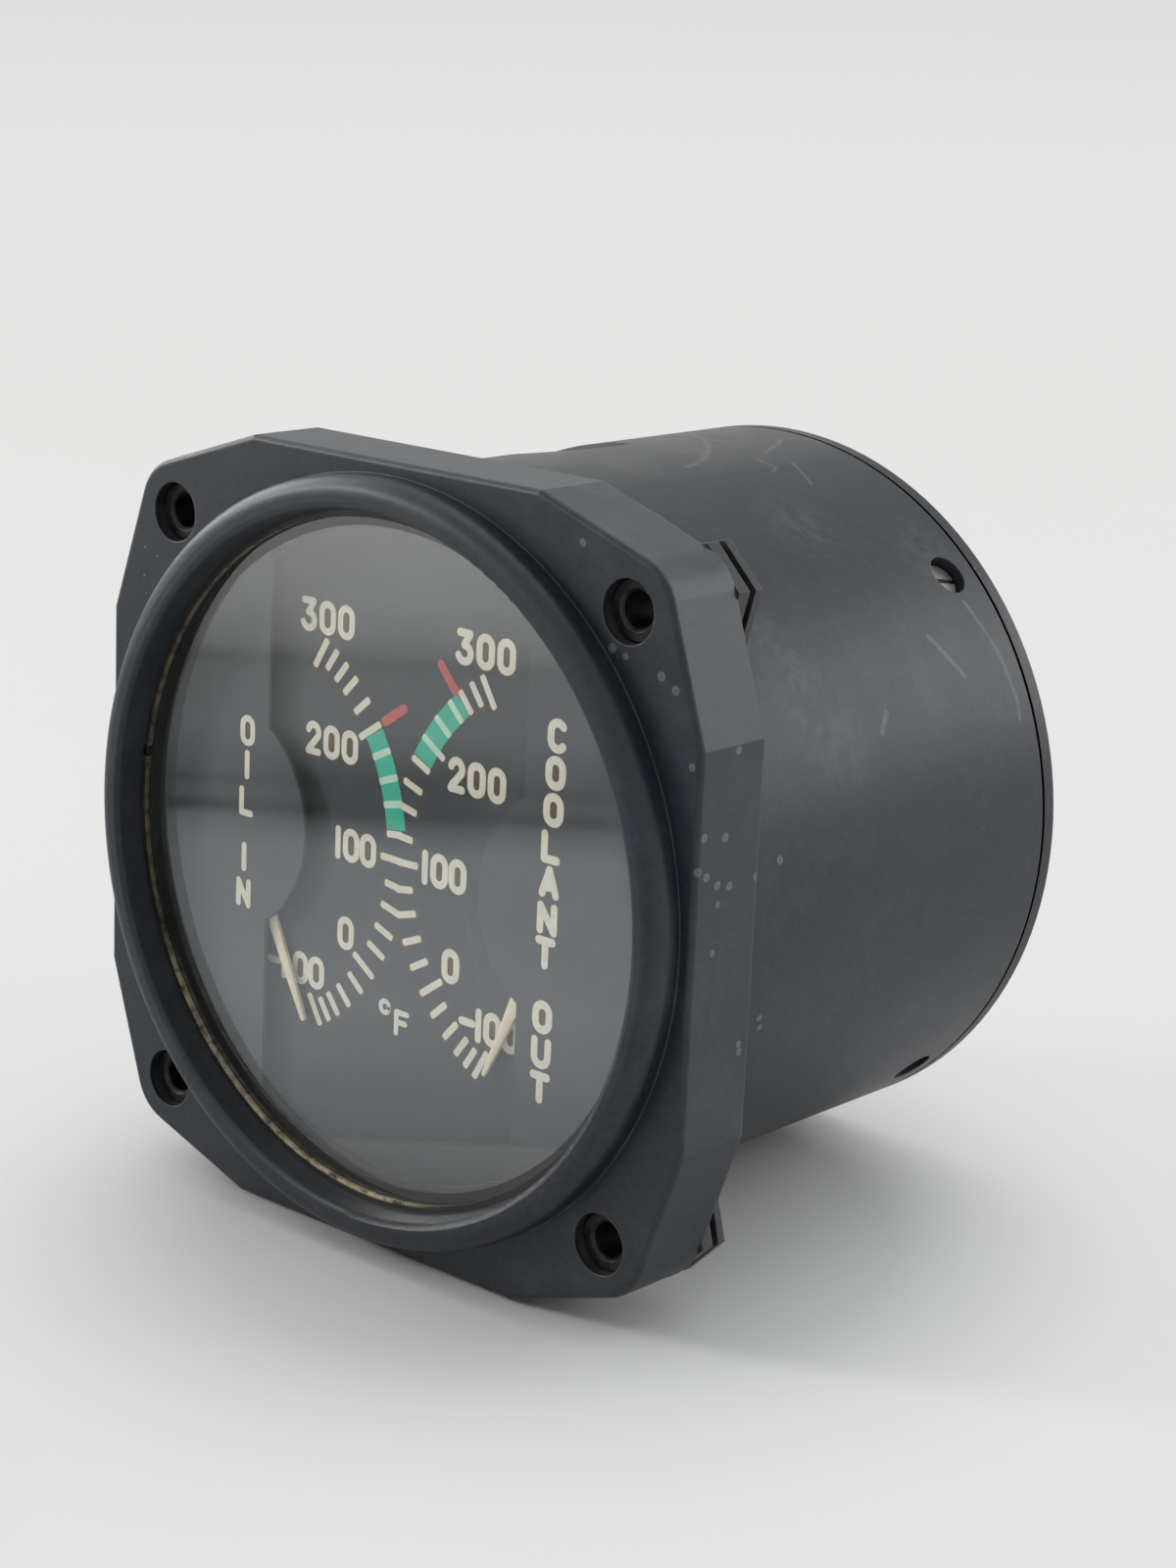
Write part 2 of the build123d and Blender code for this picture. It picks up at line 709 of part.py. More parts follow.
add("case_body", case_body())
window_stack()
turning_parts()
movement_frame()
coils()
wiring()
cover_parts()
add("mount_inserts", group([mount_insert(x, z) for x, z in quarter_points(hole_pitch_half, hole_pitch_half)]))
receptacle()

os.makedirs("parts", exist_ok=True)
for name, shape in NODES.items():
    export_step(shape, "parts/" + name + ".step")
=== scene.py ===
import json
import math

import bmesh
import bpy
from mathutils import Matrix, Vector


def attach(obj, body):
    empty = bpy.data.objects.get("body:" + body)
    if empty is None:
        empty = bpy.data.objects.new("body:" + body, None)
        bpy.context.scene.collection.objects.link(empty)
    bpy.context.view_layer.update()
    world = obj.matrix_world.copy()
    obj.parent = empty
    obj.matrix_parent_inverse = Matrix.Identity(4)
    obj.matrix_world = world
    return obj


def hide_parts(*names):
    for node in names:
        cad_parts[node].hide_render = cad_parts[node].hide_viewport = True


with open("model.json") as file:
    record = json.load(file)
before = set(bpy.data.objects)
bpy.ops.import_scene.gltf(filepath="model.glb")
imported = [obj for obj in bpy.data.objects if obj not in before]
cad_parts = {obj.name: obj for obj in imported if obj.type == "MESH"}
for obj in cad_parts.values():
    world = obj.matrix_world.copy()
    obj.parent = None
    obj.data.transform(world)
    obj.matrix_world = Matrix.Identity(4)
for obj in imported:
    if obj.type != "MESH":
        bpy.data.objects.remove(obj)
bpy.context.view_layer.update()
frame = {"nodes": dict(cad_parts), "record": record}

MM = 0.001
NODES = frame["nodes"]
CASE = "case"

# Main measures of the frame, in millimetres
DIAL_Y = 3.9
MASK_Y = 2.3
PIVOT_X = 23.16

# The gauge rests leaning back on the flange and the cover: the floor's slope and a point of it
FLOOR_TILT = math.radians(2.0)
FLOOR_Y = 9.2
FLOOR_Z = -41.1

# The pale background, as it is seen far off
BACKGROUND = (0.735, 0.745, 0.735)

# The rays that meet the pale background
BACKGROUND_RAYS = ("Is Camera Ray", "Is Glossy Ray", "Is Transmission Ray")


# Shader graphs

class Graph:
    """A node material with its Principled shader, in object coordinates counted in millimetres."""

    def __init__(self, name):
        self.material = bpy.data.materials.new(name)
        self.material.use_nodes = True
        self.tree = self.material.node_tree
        self.bsdf = self.tree.nodes["Principled BSDF"]
        coord = self.add("ShaderNodeTexCoord")
        scaled = self.add("ShaderNodeVectorMath", operation="SCALE")
        scaled.inputs["Scale"].default_value = 1000.0
        self.link(coord.outputs["Object"], scaled.inputs[0])
        self.place = scaled.outputs[0]

    def add(self, kind, **settings):
        node = self.tree.nodes.new(kind)
        for key, value in settings.items():
            setattr(node, key, value)
        return node

    def link(self, source, target):
        self.tree.links.new(source, target)

    def put(self, socket, value):
        if hasattr(value, "is_output"):
            self.link(value, socket)
        else:
            socket.default_value = value

    def noise(self, size, detail=3.0, rough=0.5, distortion=0.0, place=None):
        """Cloudy noise whose larger spots are about the size in millimetres."""
        node = self.add("ShaderNodeTexNoise")
        node.inputs["Scale"].default_value = 1.0 / size
        node.inputs["Detail"].default_value = detail
        node.inputs["Roughness"].default_value = rough
        node.inputs["Distortion"].default_value = distortion
        self.link(place or self.place, node.inputs["Vector"])
        return node.outputs["Fac"]

    def cells(self, size):
        """Distance to the nearest of many scattered points."""
        node = self.add("ShaderNodeTexVoronoi", feature="F1")
        node.inputs["Scale"].default_value = 1.0 / size
        self.link(self.place, node.inputs["Vector"])
        return node.outputs["Distance"]

    def stretch(self, x, y, z):
        """The place with each axis scaled."""
        node = self.add("ShaderNodeVectorMath", operation="MULTIPLY")
        self.link(self.place, node.inputs[0])
        node.inputs[1].default_value = (x, y, z)
        return node.outputs[0]

    def ramp(self, value, low, high, out_low=0.0, out_high=1.0):
        """A straight rise or fall between two values, held level outside them."""
        node = self.add("ShaderNodeMapRange", clamp=True)
        self.put(node.inputs["Value"], value)
        node.inputs["From Min"].default_value = low
        node.inputs["From Max"].default_value = high
        node.inputs["To Min"].default_value = out_low
        node.inputs["To Max"].default_value = out_high
        return node.outputs["Result"]

    def math(self, operation, a, b=0.0):
        node = self.add("ShaderNodeMath", operation=operation)
        self.put(node.inputs[0], a)
        self.put(node.inputs[1], b)
        return node.outputs[0]

    def times(self, *values):
        """The product of all the values."""
        result = values[0]
        for value in values[1:]:
            result = self.math("MULTIPLY", result, value)
        return result

    def band(self, value, rise, fall):
        """1 between a soft rise and a soft fall, each given by its two ends in rising order."""
        return self.times(self.ramp(value, *rise), self.ramp(value, fall[1], fall[0]))

    def blend(self, fac, a, b):
        node = self.add("ShaderNodeMix", data_type="RGBA")
        self.put(node.inputs["Factor"], fac)
        self.put(node.inputs["A"], a if hasattr(a, "is_output") else (*a, 1.0))
        self.put(node.inputs["B"], b if hasattr(b, "is_output") else (*b, 1.0))
        return node.outputs["Result"]

    def axis(self, name):
        node = self.add("ShaderNodeSeparateXYZ")
        self.link(self.place, node.inputs[0])
        return node.outputs[name]

    def distance(self, centre):
        """Distance from a point in millimetres."""
        return self.vector("DISTANCE", self.place, centre, "Value")

    def along(self, direction):
        """How far the place lies in a direction."""
        return self.vector("DOT_PRODUCT", self.place, direction, "Value")

    def vector(self, operation, a, b=None, output="Vector"):
        node = self.add("ShaderNodeVectorMath", operation=operation)
        self.put(node.inputs[0], a)
        if b is not None:
            self.put(node.inputs[1], b)
        return node.outputs[output]

    def spot(self, centre, radius, wobble=None, hollow=False):
        """1 within a radius of a point, with an uneven rim, or a ring with a small dark middle."""
        distance = self.distance(centre)
        if wobble is not None:
            distance = self.math("ADD", distance, self.times(wobble, radius))
        disc = self.ramp(distance, radius * 1.05, radius * 0.75)
        if hollow:
            disc = self.times(disc, self.ramp(distance, 0.0, radius * 0.45, 0.35, 1.0))
        return disc

    def scratch(self, points, width):
        """1 along a thin line through the points, fading to its sides."""
        nearest = None
        for start, end in zip(points, points[1:]):
            run = Vector(end) - Vector(start)
            off = self.vector("SUBTRACT", self.place, start)
            share = self.vector("DOT_PRODUCT", off, run / run.length_squared, "Value")
            share = self.ramp(share, 0.0, 1.0)
            reach = self.add("ShaderNodeVectorMath", operation="SCALE")
            reach.inputs[0].default_value = run
            self.link(share, reach.inputs["Scale"])
            distance = self.vector("DISTANCE", off, reach.outputs[0], "Value")
            nearest = distance if nearest is None else self.math("MINIMUM", nearest, distance)
        return self.ramp(nearest, width, width * 0.2)

    def greatest(self, masks):
        """The greatest of several masks."""
        result = masks[0]
        for mask in masks[1:]:
            result = self.math("MAXIMUM", result, mask)
        return result

    def edge(self, radius, low=0.004, high=0.09):
        """1 on sharp edges, from the difference of a rounded normal and the true one."""
        bevel = self.add("ShaderNodeBevel", samples=6)
        bevel.inputs["Radius"].default_value = radius * MM
        geometry = self.add("ShaderNodeNewGeometry")
        dot = self.add("ShaderNodeVectorMath", operation="DOT_PRODUCT")
        self.link(bevel.outputs[0], dot.inputs[0])
        self.link(geometry.outputs["Normal"], dot.inputs[1])
        return self.ramp(self.math("SUBTRACT", 1.0, dot.outputs["Value"]), low, high)

    def bump(self, height, depth, round_edge=0.0):
        """Relief of a depth in millimetres, with the sharp edges shaded round where a radius is given."""
        node = self.add("ShaderNodeBump")
        node.inputs["Distance"].default_value = depth * MM
        self.link(height, node.inputs["Height"])
        if round_edge:
            bevel = self.add("ShaderNodeBevel", samples=6)
            bevel.inputs["Radius"].default_value = round_edge * MM
            self.link(bevel.outputs[0], node.inputs["Normal"])
        self.link(node.outputs[0], self.bsdf.inputs["Normal"])

    def color(self, value):
        self.put(self.bsdf.inputs["Base Color"], value if hasattr(value, "is_output") else (*value, 1.0))

    def rough(self, value):
        self.put(self.bsdf.inputs["Roughness"], value)

    def level(self, socket, value):
        self.bsdf.inputs[socket].default_value = value

    def mix_shaders(self, share, a, b):
        node = self.add("ShaderNodeMixShader")
        self.link(share, node.inputs["Fac"])
        self.link(a, node.inputs[1])
        self.link(b, node.inputs[2])
        return node.outputs[0]

    def surface(self, shader):
        self.link(shader, self.tree.nodes["Material Output"].inputs["Surface"])


# Layers over the black of the case, from the lowest to the uppermost: greatest share and colour
CASE_LAYERS = {
    "mottle": (0.35, (0.032, 0.036, 0.044)),
    "dust": (0.20, (0.13, 0.133, 0.135)),
    "crown": (0.34, (0.19, 0.18, 0.165)),
    "film": (0.26, (0.21, 0.212, 0.215)),
    "smudges": (0.26, (0.17, 0.175, 0.18)),
    # Pale edges: partly wear, partly a painted highlight along the edges
    "edges": (0.40, (0.17, 0.17, 0.17)),
    "scratches": (0.46, (0.20, 0.20, 0.205)),
    "drops": (0.48, (0.235, 0.24, 0.245)),
    "specks": (0.60, (0.42, 0.42, 0.40)),
    "dots": (0.30, (0.34, 0.34, 0.32)),
    # Painted shade in the gap at the cover: near black, with its gloss taken away
    "seam": (1.0, (0.002, 0.002, 0.002)),
}


def case_masks(g, fine, rub):
    """Where each layer of the case lies."""
    break_up = g.noise(1.4, 3.0, 0.6)
    wobble = g.noise(0.12, 2.0)
    height, depth = g.axis("Z"), g.axis("Y")
    normal = g.add("ShaderNodeNewGeometry").outputs["Normal"]
    upward = g.ramp(g.vector("DOT_PRODUCT", normal, (0.35, 0.0, 1.0), "Value"), 0.15, 0.85)
    flange = g.band(depth, (0.25, 0.60), (9.2, 9.6))
    barrel_top = g.times(g.ramp(height, 37.6, 39.0), g.ramp(depth, 9.0, 12.0))
    smudges = g.greatest([g.ramp(g.distance(centre), radius, 0.0) for centre, radius in SMUDGES])
    scratches = g.greatest([g.scratch(points, width) for points, width in SCRATCHES])
    return {
        "mottle": g.ramp(g.noise(0.75, 4.0, 0.7), 0.42, 0.62),
        "dust": g.times(g.ramp(rub, 0.48, 0.78), g.ramp(fine, 0.30, 0.75, 0.4, 1.0)),
        "crown": g.times(barrel_top, g.ramp(rub, 0.34, 0.62, 0.25, 1.0)),
        "film": g.times(upward, flange, g.ramp(rub, 0.30, 0.60, 0.55, 1.0)),
        "smudges": g.times(smudges, g.ramp(g.noise(1.8, 4.0, 0.65), 0.36, 0.62)),
        # Edges painted pale, partly as wear and partly as a painted highlight.
        "edges": g.times(g.edge(0.35), g.ramp(rub, 0.38, 0.62, 0.25, 0.9)),
        "scratches": g.times(scratches, g.ramp(break_up, 0.30, 0.55, 0.25, 1.0)),
        "drops": g.greatest([g.spot(centre, radius, None, True) for centre, radius in DRIED_DROPS]),
        "specks": g.greatest([g.spot(centre, radius, wobble) for centre, radius in SPECKS]),
        "dots": g.times(g.ramp(g.cells(2.6), 0.034, 0.022), g.ramp(g.noise(9.0, 1.0), 0.62, 0.68)),
        # Painted shade in the seam between case and cover.
        "seam": g.band(depth, (60.82, 60.90), (61.27, 61.36)),
    }


def case_material():
    """Satin black moulding with dust and wear. Painted shade darkens it towards the bottom and in the
    seam at the cover, and its edges are painted pale, partly as wear and partly as painted highlight.
    """
    g = Graph("case_black_moulding")
    cloud = g.noise(22.0, 4.0, 0.55)
    fine = g.noise(0.32, 3.0, 0.6)
    rub = g.noise(6.5, 5.0, 0.62, 0.4)
    base = g.blend(g.ramp(cloud, 0.35, 0.65), (0.0070, 0.0110, 0.0185), (0.0130, 0.0175, 0.0275))
    # Painted shade: the case grows darker towards the bottom.
    base = g.blend(g.ramp(g.axis("Z"), 14.0, -34.0, 0.0, 0.55), base, (0.003, 0.005, 0.009))
    masks = case_masks(g, fine, rub)
    for layer, (share, color) in CASE_LAYERS.items():
        base = g.blend(g.times(masks[layer], share), base, color)
    g.color(base)
    # The seam's painted shade also takes away its gloss.
    gloss = g.math("SUBTRACT", 0.5, g.times(masks["seam"], 0.5))
    g.put(g.bsdf.inputs["Specular IOR Level"], gloss)
    g.rough(g.ramp(g.math("ADD", g.times(rub, 0.6), g.times(fine, 0.4)), 0.3, 0.7, 0.38, 0.50))
    g.bump(g.math("ADD", fine, g.times(g.noise(3.5, 2.0), 2.0)), 0.010, 0.22)
    return g.material


# Pale specks and chips on the case: place in millimetres and radius
SPECKS = [
    ((-36.1, 0.0, 27.0), 0.22),
    ((-34.2, 0.0, 26.3), 0.18),
    ((-36.2, 0.0, 23.9), 0.22),
    ((-35.9, 0.0, 22.0), 0.19),
    ((29.7, 0.0, 27.7), 0.22),
    ((38.9, -1.25, -1.7), 0.20),
    ((36.4, 62.3, 14.6), 0.22),
    ((39.0, 49.7, 3.5), 0.15),
    ((30.2, 47.8, -25.0), 0.18),
    ((27.6, 61.5, 27.8), 0.28),
    ((28.2, 61.6, 27.2), 0.22),
]

# Small rings left by dried drops
DRIED_DROPS = [
    ((29.7, 0.0, 27.7), 0.52),
    ((27.2, 0.0, 26.3), 0.46),
    ((31.4, 0.0, 27.2), 0.36),
    ((35.8, 0.0, 26.1), 0.52),
    ((37.6, 0.0, 25.1), 0.50),
    ((40.0, 0.0, 18.3), 0.42),
    ((25.5, 0.0, 37.0), 0.42),
    ((38.9, -1.25, -1.7), 0.44),
    ((41.3, 5.4, 19.3), 0.50),
    ((41.1, 1.0, 11.6), 0.48),
    ((41.1, 4.1, 11.1), 0.52),
    ((41.1, 9.1, 6.4), 0.48),
    ((41.1, 0.4, 8.4), 0.48),
    ((41.1, 1.6, 7.7), 0.50),
    ((41.1, 3.3, 6.6), 0.50),
    ((41.1, 5.1, 6.2), 0.46),
    ((41.1, 3.5, 4.7), 0.36),
    ((41.1, 3.1, 0.0), 0.40),
    ((41.1, 7.9, -10.1), 0.42),
    ((41.1, 8.0, -10.9), 0.42),
    ((38.7, 15.8, 6.2), 0.50),
    ((37.9, 15.0, -9.9), 0.40),
    ((37.6, 15.6, -11.1), 0.40),
]

# Soft pale smudges on the barrel
SMUDGES = [
    ((29.6, 22.8, 25.7), 4.5),
    ((32.5, 25.2, 21.9), 5.0),
    ((34.6, 23.3, 18.4), 2.6),
    ((36.1, 28.2, 15.2), 6.5),
    ((25.0, 55.1, 30.2), 5.5),
    ((20.0, 40.0, 33.7), 7.0),
]

# Shallow scratches along the barrel: points and half width
SCRATCHES = [
    (
        [
            (-3.6, 50.5, 39.04), (0.1, 48.2, 39.2), (3.8, 44.6, 39.02),
            (6.4, 40.8, 38.7), (7.6, 37.9, 38.5), (7.9, 35.9, 38.4),
        ],
        0.45,
    ),
    ([(-0.2, 48.6, 39.2), (2.7, 49.1, 39.11)], 0.35),
    ([(-3.1, 43.7, 39.08), (-1.0, 47.7, 39.19)], 0.35),
    ([(3.4, 56.1, 39.05), (3.8, 57.2, 39.02), (5.2, 54.9, 38.85), (7.3, 49.8, 38.52)], 0.35),
    ([(3.8, 57.2, 39.02), (5.5, 61.0, 38.81)], 0.30),
    ([(8.5, 47.1, 38.26), (10.8, 47.4, 37.67), (11.5, 46.2, 37.49)], 0.35),
    ([(10.5, 50.8, 37.76), (14.7, 48.7, 36.33)], 0.35),
    ([(12.4, 21.4, 37.2), (18.9, 22.9, 34.33)], 0.40),
    ([(30.1, 56.4, 25.14), (33.7, 58.2, 20.0), (36.0, 58.8, 15.4), (36.8, 58.5, 13.4)], 0.40),
    ([(31.9, 47.8, 22.77), (34.5, 51.0, 18.7)], 0.45),
    ([(35.3, 36.4, 17.1), (36.0, 34.9, 15.4)], 0.55),
]


def dial_material(name, dark, light):
    """Matt black paint with fine dust, a few pits and faint brown stains."""
    g = Graph(name)
    fine = g.noise(0.22, 2.0, 0.5)
    cloud = g.noise(7.0, 4.0, 0.6)
    dust = g.ramp(g.cells(1.7), 0.035, 0.020)
    pits = g.greatest([g.spot(centre, radius) for centre, radius in DIAL_PITS])
    hairs = g.greatest([g.scratch(points, width) for points, width in DIAL_HAIRS])
    base = g.blend(g.ramp(cloud, 0.3, 0.7), dark, light)
    base = g.blend(g.times(dust, 0.20), base, (0.35, 0.33, 0.28))
    base = g.blend(g.times(pits, 0.85), base, (0.006, 0.006, 0.006))
    base = g.blend(g.times(hairs, 0.25), base, (0.17, 0.13, 0.10))
    g.color(base)
    g.rough(g.ramp(fine, 0.3, 0.7, 0.62, 0.78))
    g.bump(fine, 0.0014, 0.05)
    return g.material


# Dark pits and faint stains on the dial: places in millimetres and radius or half width
DIAL_PITS = [
    ((11.1, 3.9, -27.6), 0.20),
    ((-5.3, 3.9, -23.6), 0.16),
    ((-18.4, 3.9, 10.2), 0.12),
    ((3.2, 3.9, -30.4), 0.12),
]
DIAL_HAIRS = [
    ([(9.2, 3.9, -3.6), (11.0, 3.9, -8.2), (12.2, 3.9, -12.4)], 0.22),
    ([(16.1, 3.9, 9.0), (17.4, 3.9, 5.2)], 0.18),
]


def ring_material():
    """Stained dark, with a brass line along the inner edge at the left and below: partly brass worn
    through, partly a painted highlight where that edge catches the light.
    """
    g = Graph("stained_retaining_ring")
    grime = g.noise(1.3, 4.0, 0.6)
    radius = g.vector("LENGTH", g.stretch(1.0, 0.0, 1.0), None, "Value")
    turn = g.times(g.math("ARCTAN2", g.axis("Z"), g.axis("X")), 180.0 / math.pi)
    from_left = g.math("ABSOLUTE", g.math("SUBTRACT", g.math("ABSOLUTE", turn), 150.0))
    left = g.ramp(from_left, 42.0, 26.0)
    lower = g.band(turn, (-158.0, -145.0), (-88.0, -72.0))
    reach = g.math("ADD", 35.50, g.times(lower, 0.20))
    # Brass along the inner edge, only at the left and below: partly wear, partly a painted highlight
    # where the edge is lit.
    bare_brass_and_highlight = g.times(
        g.math("MAXIMUM", g.times(left, 0.22), lower),
        g.ramp(g.math("SUBTRACT", reach, radius), 0.0, 0.12),
        g.ramp(grime, 0.36, 0.56, 0.10, 1.0),
    )
    base = g.blend(g.ramp(grime, 0.35, 0.65), (0.012, 0.010, 0.009), (0.030, 0.023, 0.017))
    g.color(g.blend(bare_brass_and_highlight, base, (0.70, 0.61, 0.42)))
    g.put(g.bsdf.inputs["Metallic"], g.times(bare_brass_and_highlight, 0.9))
    g.rough(g.ramp(grime, 0.3, 0.7, 0.35, 0.55))
    g.bump(grime, 0.01, 0.06)
    return g.material


def pointer_material():
    """Aged cream paint, browner along the edges."""
    g = Graph("pointer_cream")
    grain = g.noise(0.45, 4.0, 0.65)
    cloud = g.noise(3.0, 3.0, 0.5)
    mix = g.math("ADD", g.times(grain, 0.4), g.times(cloud, 0.6))
    base = g.blend(g.ramp(mix, 0.35, 0.65), (0.86, 0.72, 0.50), (0.98, 0.88, 0.68))
    base = g.blend(g.times(g.edge(0.16), 0.4), base, (0.52, 0.36, 0.22))
    g.color(base)
    g.rough(g.ramp(grain, 0.3, 0.7, 0.45, 0.6))
    g.bump(grain, 0.015, 0.06)
    return g.material


def paint_material(name, light, dark, size=0.5, rough=0.6, depth=0.02):
    """Slightly uneven paint between two tones."""
    g = Graph(name)
    grain = g.noise(size, 4.0, 0.65)
    cloud = g.noise(size * 8.0, 3.0, 0.5)
    mix = g.math("ADD", g.times(grain, 0.5), g.times(cloud, 0.5))
    g.color(g.blend(g.ramp(mix, 0.35, 0.65), dark, light))
    g.rough(g.ramp(grain, 0.3, 0.7, rough - 0.08, rough + 0.08))
    g.bump(grain, depth)
    return g.material


# Radius that the edges of small metal pieces are shaded with
METAL_EDGE = 0.12


def metal_material(name, light, dark, rough=0.35, size=0.6, metallic=1.0, edge_color=None):
    """Dull metal between two tones, with its edges rubbed bright where a colour is given."""
    g = Graph(name)
    grain = g.noise(size, 4.0, 0.6)
    cloud = g.noise(size * 6.0, 3.0, 0.6)
    base = g.blend(g.ramp(cloud, 0.35, 0.65), dark, light)
    if edge_color:
        base = g.blend(g.times(g.edge(METAL_EDGE), 0.8), base, edge_color)
    g.color(base)
    g.level("Metallic", metallic)
    g.rough(g.ramp(grain, 0.3, 0.7, rough - 0.1, rough + 0.12))
    g.bump(grain, 0.006, METAL_EDGE)
    return g.material


def insert_material():
    """Blackened nuts, chipped at the edges and browner in the bore."""
    g = Graph("insert_black_oxide")
    grime = g.noise(1.2, 4.0, 0.6)
    chip = g.times(g.edge(0.30, 0.01, 0.12), g.ramp(g.noise(2.4, 2.0), 0.42, 0.58))
    inside = g.ramp(g.axis("Y"), 9.0, 8.6)
    head = g.blend(g.ramp(grime, 0.4, 0.6), (0.024, 0.026, 0.030), (0.036, 0.038, 0.042))
    bore = g.blend(g.ramp(grime, 0.38, 0.62), (0.008, 0.007, 0.007), (0.036, 0.031, 0.028))
    base = g.blend(inside, head, bore)
    g.color(g.blend(g.times(chip, 0.30), base, (0.26, 0.25, 0.235)))
    g.put(g.bsdf.inputs["Metallic"], g.math("MAXIMUM", g.times(inside, 0.5), g.times(chip, 0.6)))
    g.rough(g.ramp(grime, 0.3, 0.7, 0.38, 0.55))
    g.bump(g.noise(0.3, 3.0), 0.012, 0.15)
    return g.material


def glass_material():
    """Clear glass with a thin uneven film of dust. Light passes it to the dial without a shadow."""
    g = Graph("window_glass")
    smear = g.noise(9.0, 4.0, 0.6, 0.8)
    g.level("Transmission Weight", 1.0)
    g.level("IOR", 1.6)
    g.level("Specular IOR Level", 0.5)
    g.color((0.97, 0.98, 0.975))
    g.rough(g.ramp(smear, 0.35, 0.75, 0.0, 0.035))
    clear = g.add("ShaderNodeBsdfTransparent")
    dust = g.add("ShaderNodeBsdfDiffuse")
    dust.inputs["Color"].default_value = (0.8, 0.8, 0.78, 1.0)
    specks = g.times(g.ramp(g.cells(2.2), 0.040, 0.026), 0.35)
    haze = g.math("ADD", g.ramp(smear, 0.45, 0.8, 0.010, 0.030), specks)
    film = g.mix_shaders(haze, g.bsdf.outputs[0], dust.outputs[0])
    path = g.add("ShaderNodeLightPath")
    passing = g.math("MAXIMUM", path.outputs["Is Shadow Ray"], path.outputs["Is Diffuse Ray"])
    g.surface(g.mix_shaders(passing, film, clear.outputs[0]))
    return g.material


def phenolic_material():
    """Brown laminate with a fine weave."""
    g = Graph("brown_phenolic")
    weave = g.noise(0.8, 4.0, 0.6, 0.3, g.stretch(1.0, 4.0, 1.0))
    g.color(g.blend(g.ramp(weave, 0.35, 0.65), (0.13, 0.06, 0.03), (0.24, 0.12, 0.06)))
    g.rough(g.ramp(weave, 0.3, 0.7, 0.4, 0.6))
    g.bump(weave, 0.01, 0.1)
    return g.material


def winding_material():
    """Copper wire in its enamel, wound in fine bands."""
    g = Graph("enamelled_wire")
    wave = g.add("ShaderNodeTexWave", wave_type="BANDS", bands_direction="DIAGONAL")
    wave.inputs["Scale"].default_value = 1.6
    wave.inputs["Distortion"].default_value = 0.4
    g.link(g.place, wave.inputs["Vector"])
    g.color(g.blend(wave.outputs["Fac"], (0.22, 0.075, 0.03), (0.50, 0.22, 0.09)))
    g.level("Metallic", 0.6)
    g.rough(g.ramp(g.noise(0.6), 0.3, 0.7, 0.25, 0.4))
    g.bump(wave.outputs["Fac"], 0.04, 0.1)
    return g.material


def rubber_material():
    g = Graph("black_rubber")
    grain = g.noise(0.5, 3.0, 0.6)
    g.color(g.blend(grain, (0.008, 0.008, 0.008), (0.020, 0.020, 0.019)))
    g.rough(g.ramp(grain, 0.3, 0.7, 0.6, 0.8))
    g.bump(grain, 0.02)
    return g.material


# Mesh helpers, all in millimetres

def new_object(name, bm, material, body):
    """An object from a mesh in millimetres, which rides on a body or stands on the stage."""
    mesh = bpy.data.meshes.new(name)
    bmesh.ops.recalc_face_normals(bm, faces=bm.faces)
    bmesh.ops.scale(bm, vec=(MM, MM, MM), verts=bm.verts)
    bm.to_mesh(mesh)
    bm.free()
    mesh.materials.append(material)
    obj = bpy.data.objects.new(name, mesh)
    bpy.context.scene.collection.objects.link(obj)
    if body:
        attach(obj, body)
    return obj


def prism(bm, outline, y_front, y_back):
    """A closed flat solid from an outline of (x, z) points."""
    front = [bm.verts.new((x, y_front, z)) for x, z in outline]
    back = [bm.verts.new((x, y_back, z)) for x, z in outline]
    bm.faces.new(front)
    bm.faces.new(list(reversed(back)))
    count = len(outline)
    for i in range(count):
        j = (i + 1) % count
        bm.faces.new((front[i], back[i], back[j], front[j]))


def ring_prism(bm, outer, inner, y_front, y_back):
    """A closed flat ring between two outlines with the same number of points."""
    rows = []
    for outline, y in ((outer, y_front), (inner, y_front), (inner, y_back), (outer, y_back)):
        rows.append([bm.verts.new((x, y, z)) for x, z in outline])
    count = len(outer)
    for a, b in zip(rows, rows[1:] + rows[:1]):
        for i in range(count):
            j = (i + 1) % count
            bm.faces.new((a[i], a[j], b[j], b[i]))


def normals_of(points, closed):
    """Unit normals of a line at each of its points."""
    result = []
    count = len(points)
    for i, p in enumerate(points):
        before = points[i - 1] if closed or i > 0 else p
        after = points[(i + 1) % count] if closed or i < count - 1 else p
        dx, dz = after[0] - before[0], after[1] - before[1]
        length = math.hypot(dx, dz)
        result.append((-dz / length, dx / length))
    return result


def stroke(bm, points, width, y_front, y_back, closed=False):
    """A painted line of one width with round ends."""
    half = width / 2
    sides = normals_of(points, closed)
    left = [(p[0] + n[0] * half, p[1] + n[1] * half) for p, n in zip(points, sides)]
    right = [(p[0] - n[0] * half, p[1] - n[1] * half) for p, n in zip(points, sides)]
    if closed:
        ring_prism(bm, left, right, y_front, y_back)
        return
    outline = list(left)
    for end, centre in ((-1, points[-1]), (0, points[0])):
        n = sides[end]
        start = math.atan2(n[1], n[0]) if end == -1 else math.atan2(-n[1], -n[0])
        for k in range(1, 8):
            a = start - math.pi * k / 8
            outline.append((centre[0] + half * math.cos(a), centre[1] + half * math.sin(a)))
        if end == -1:
            outline.extend(reversed(right))
    prism(bm, outline, y_front, y_back)


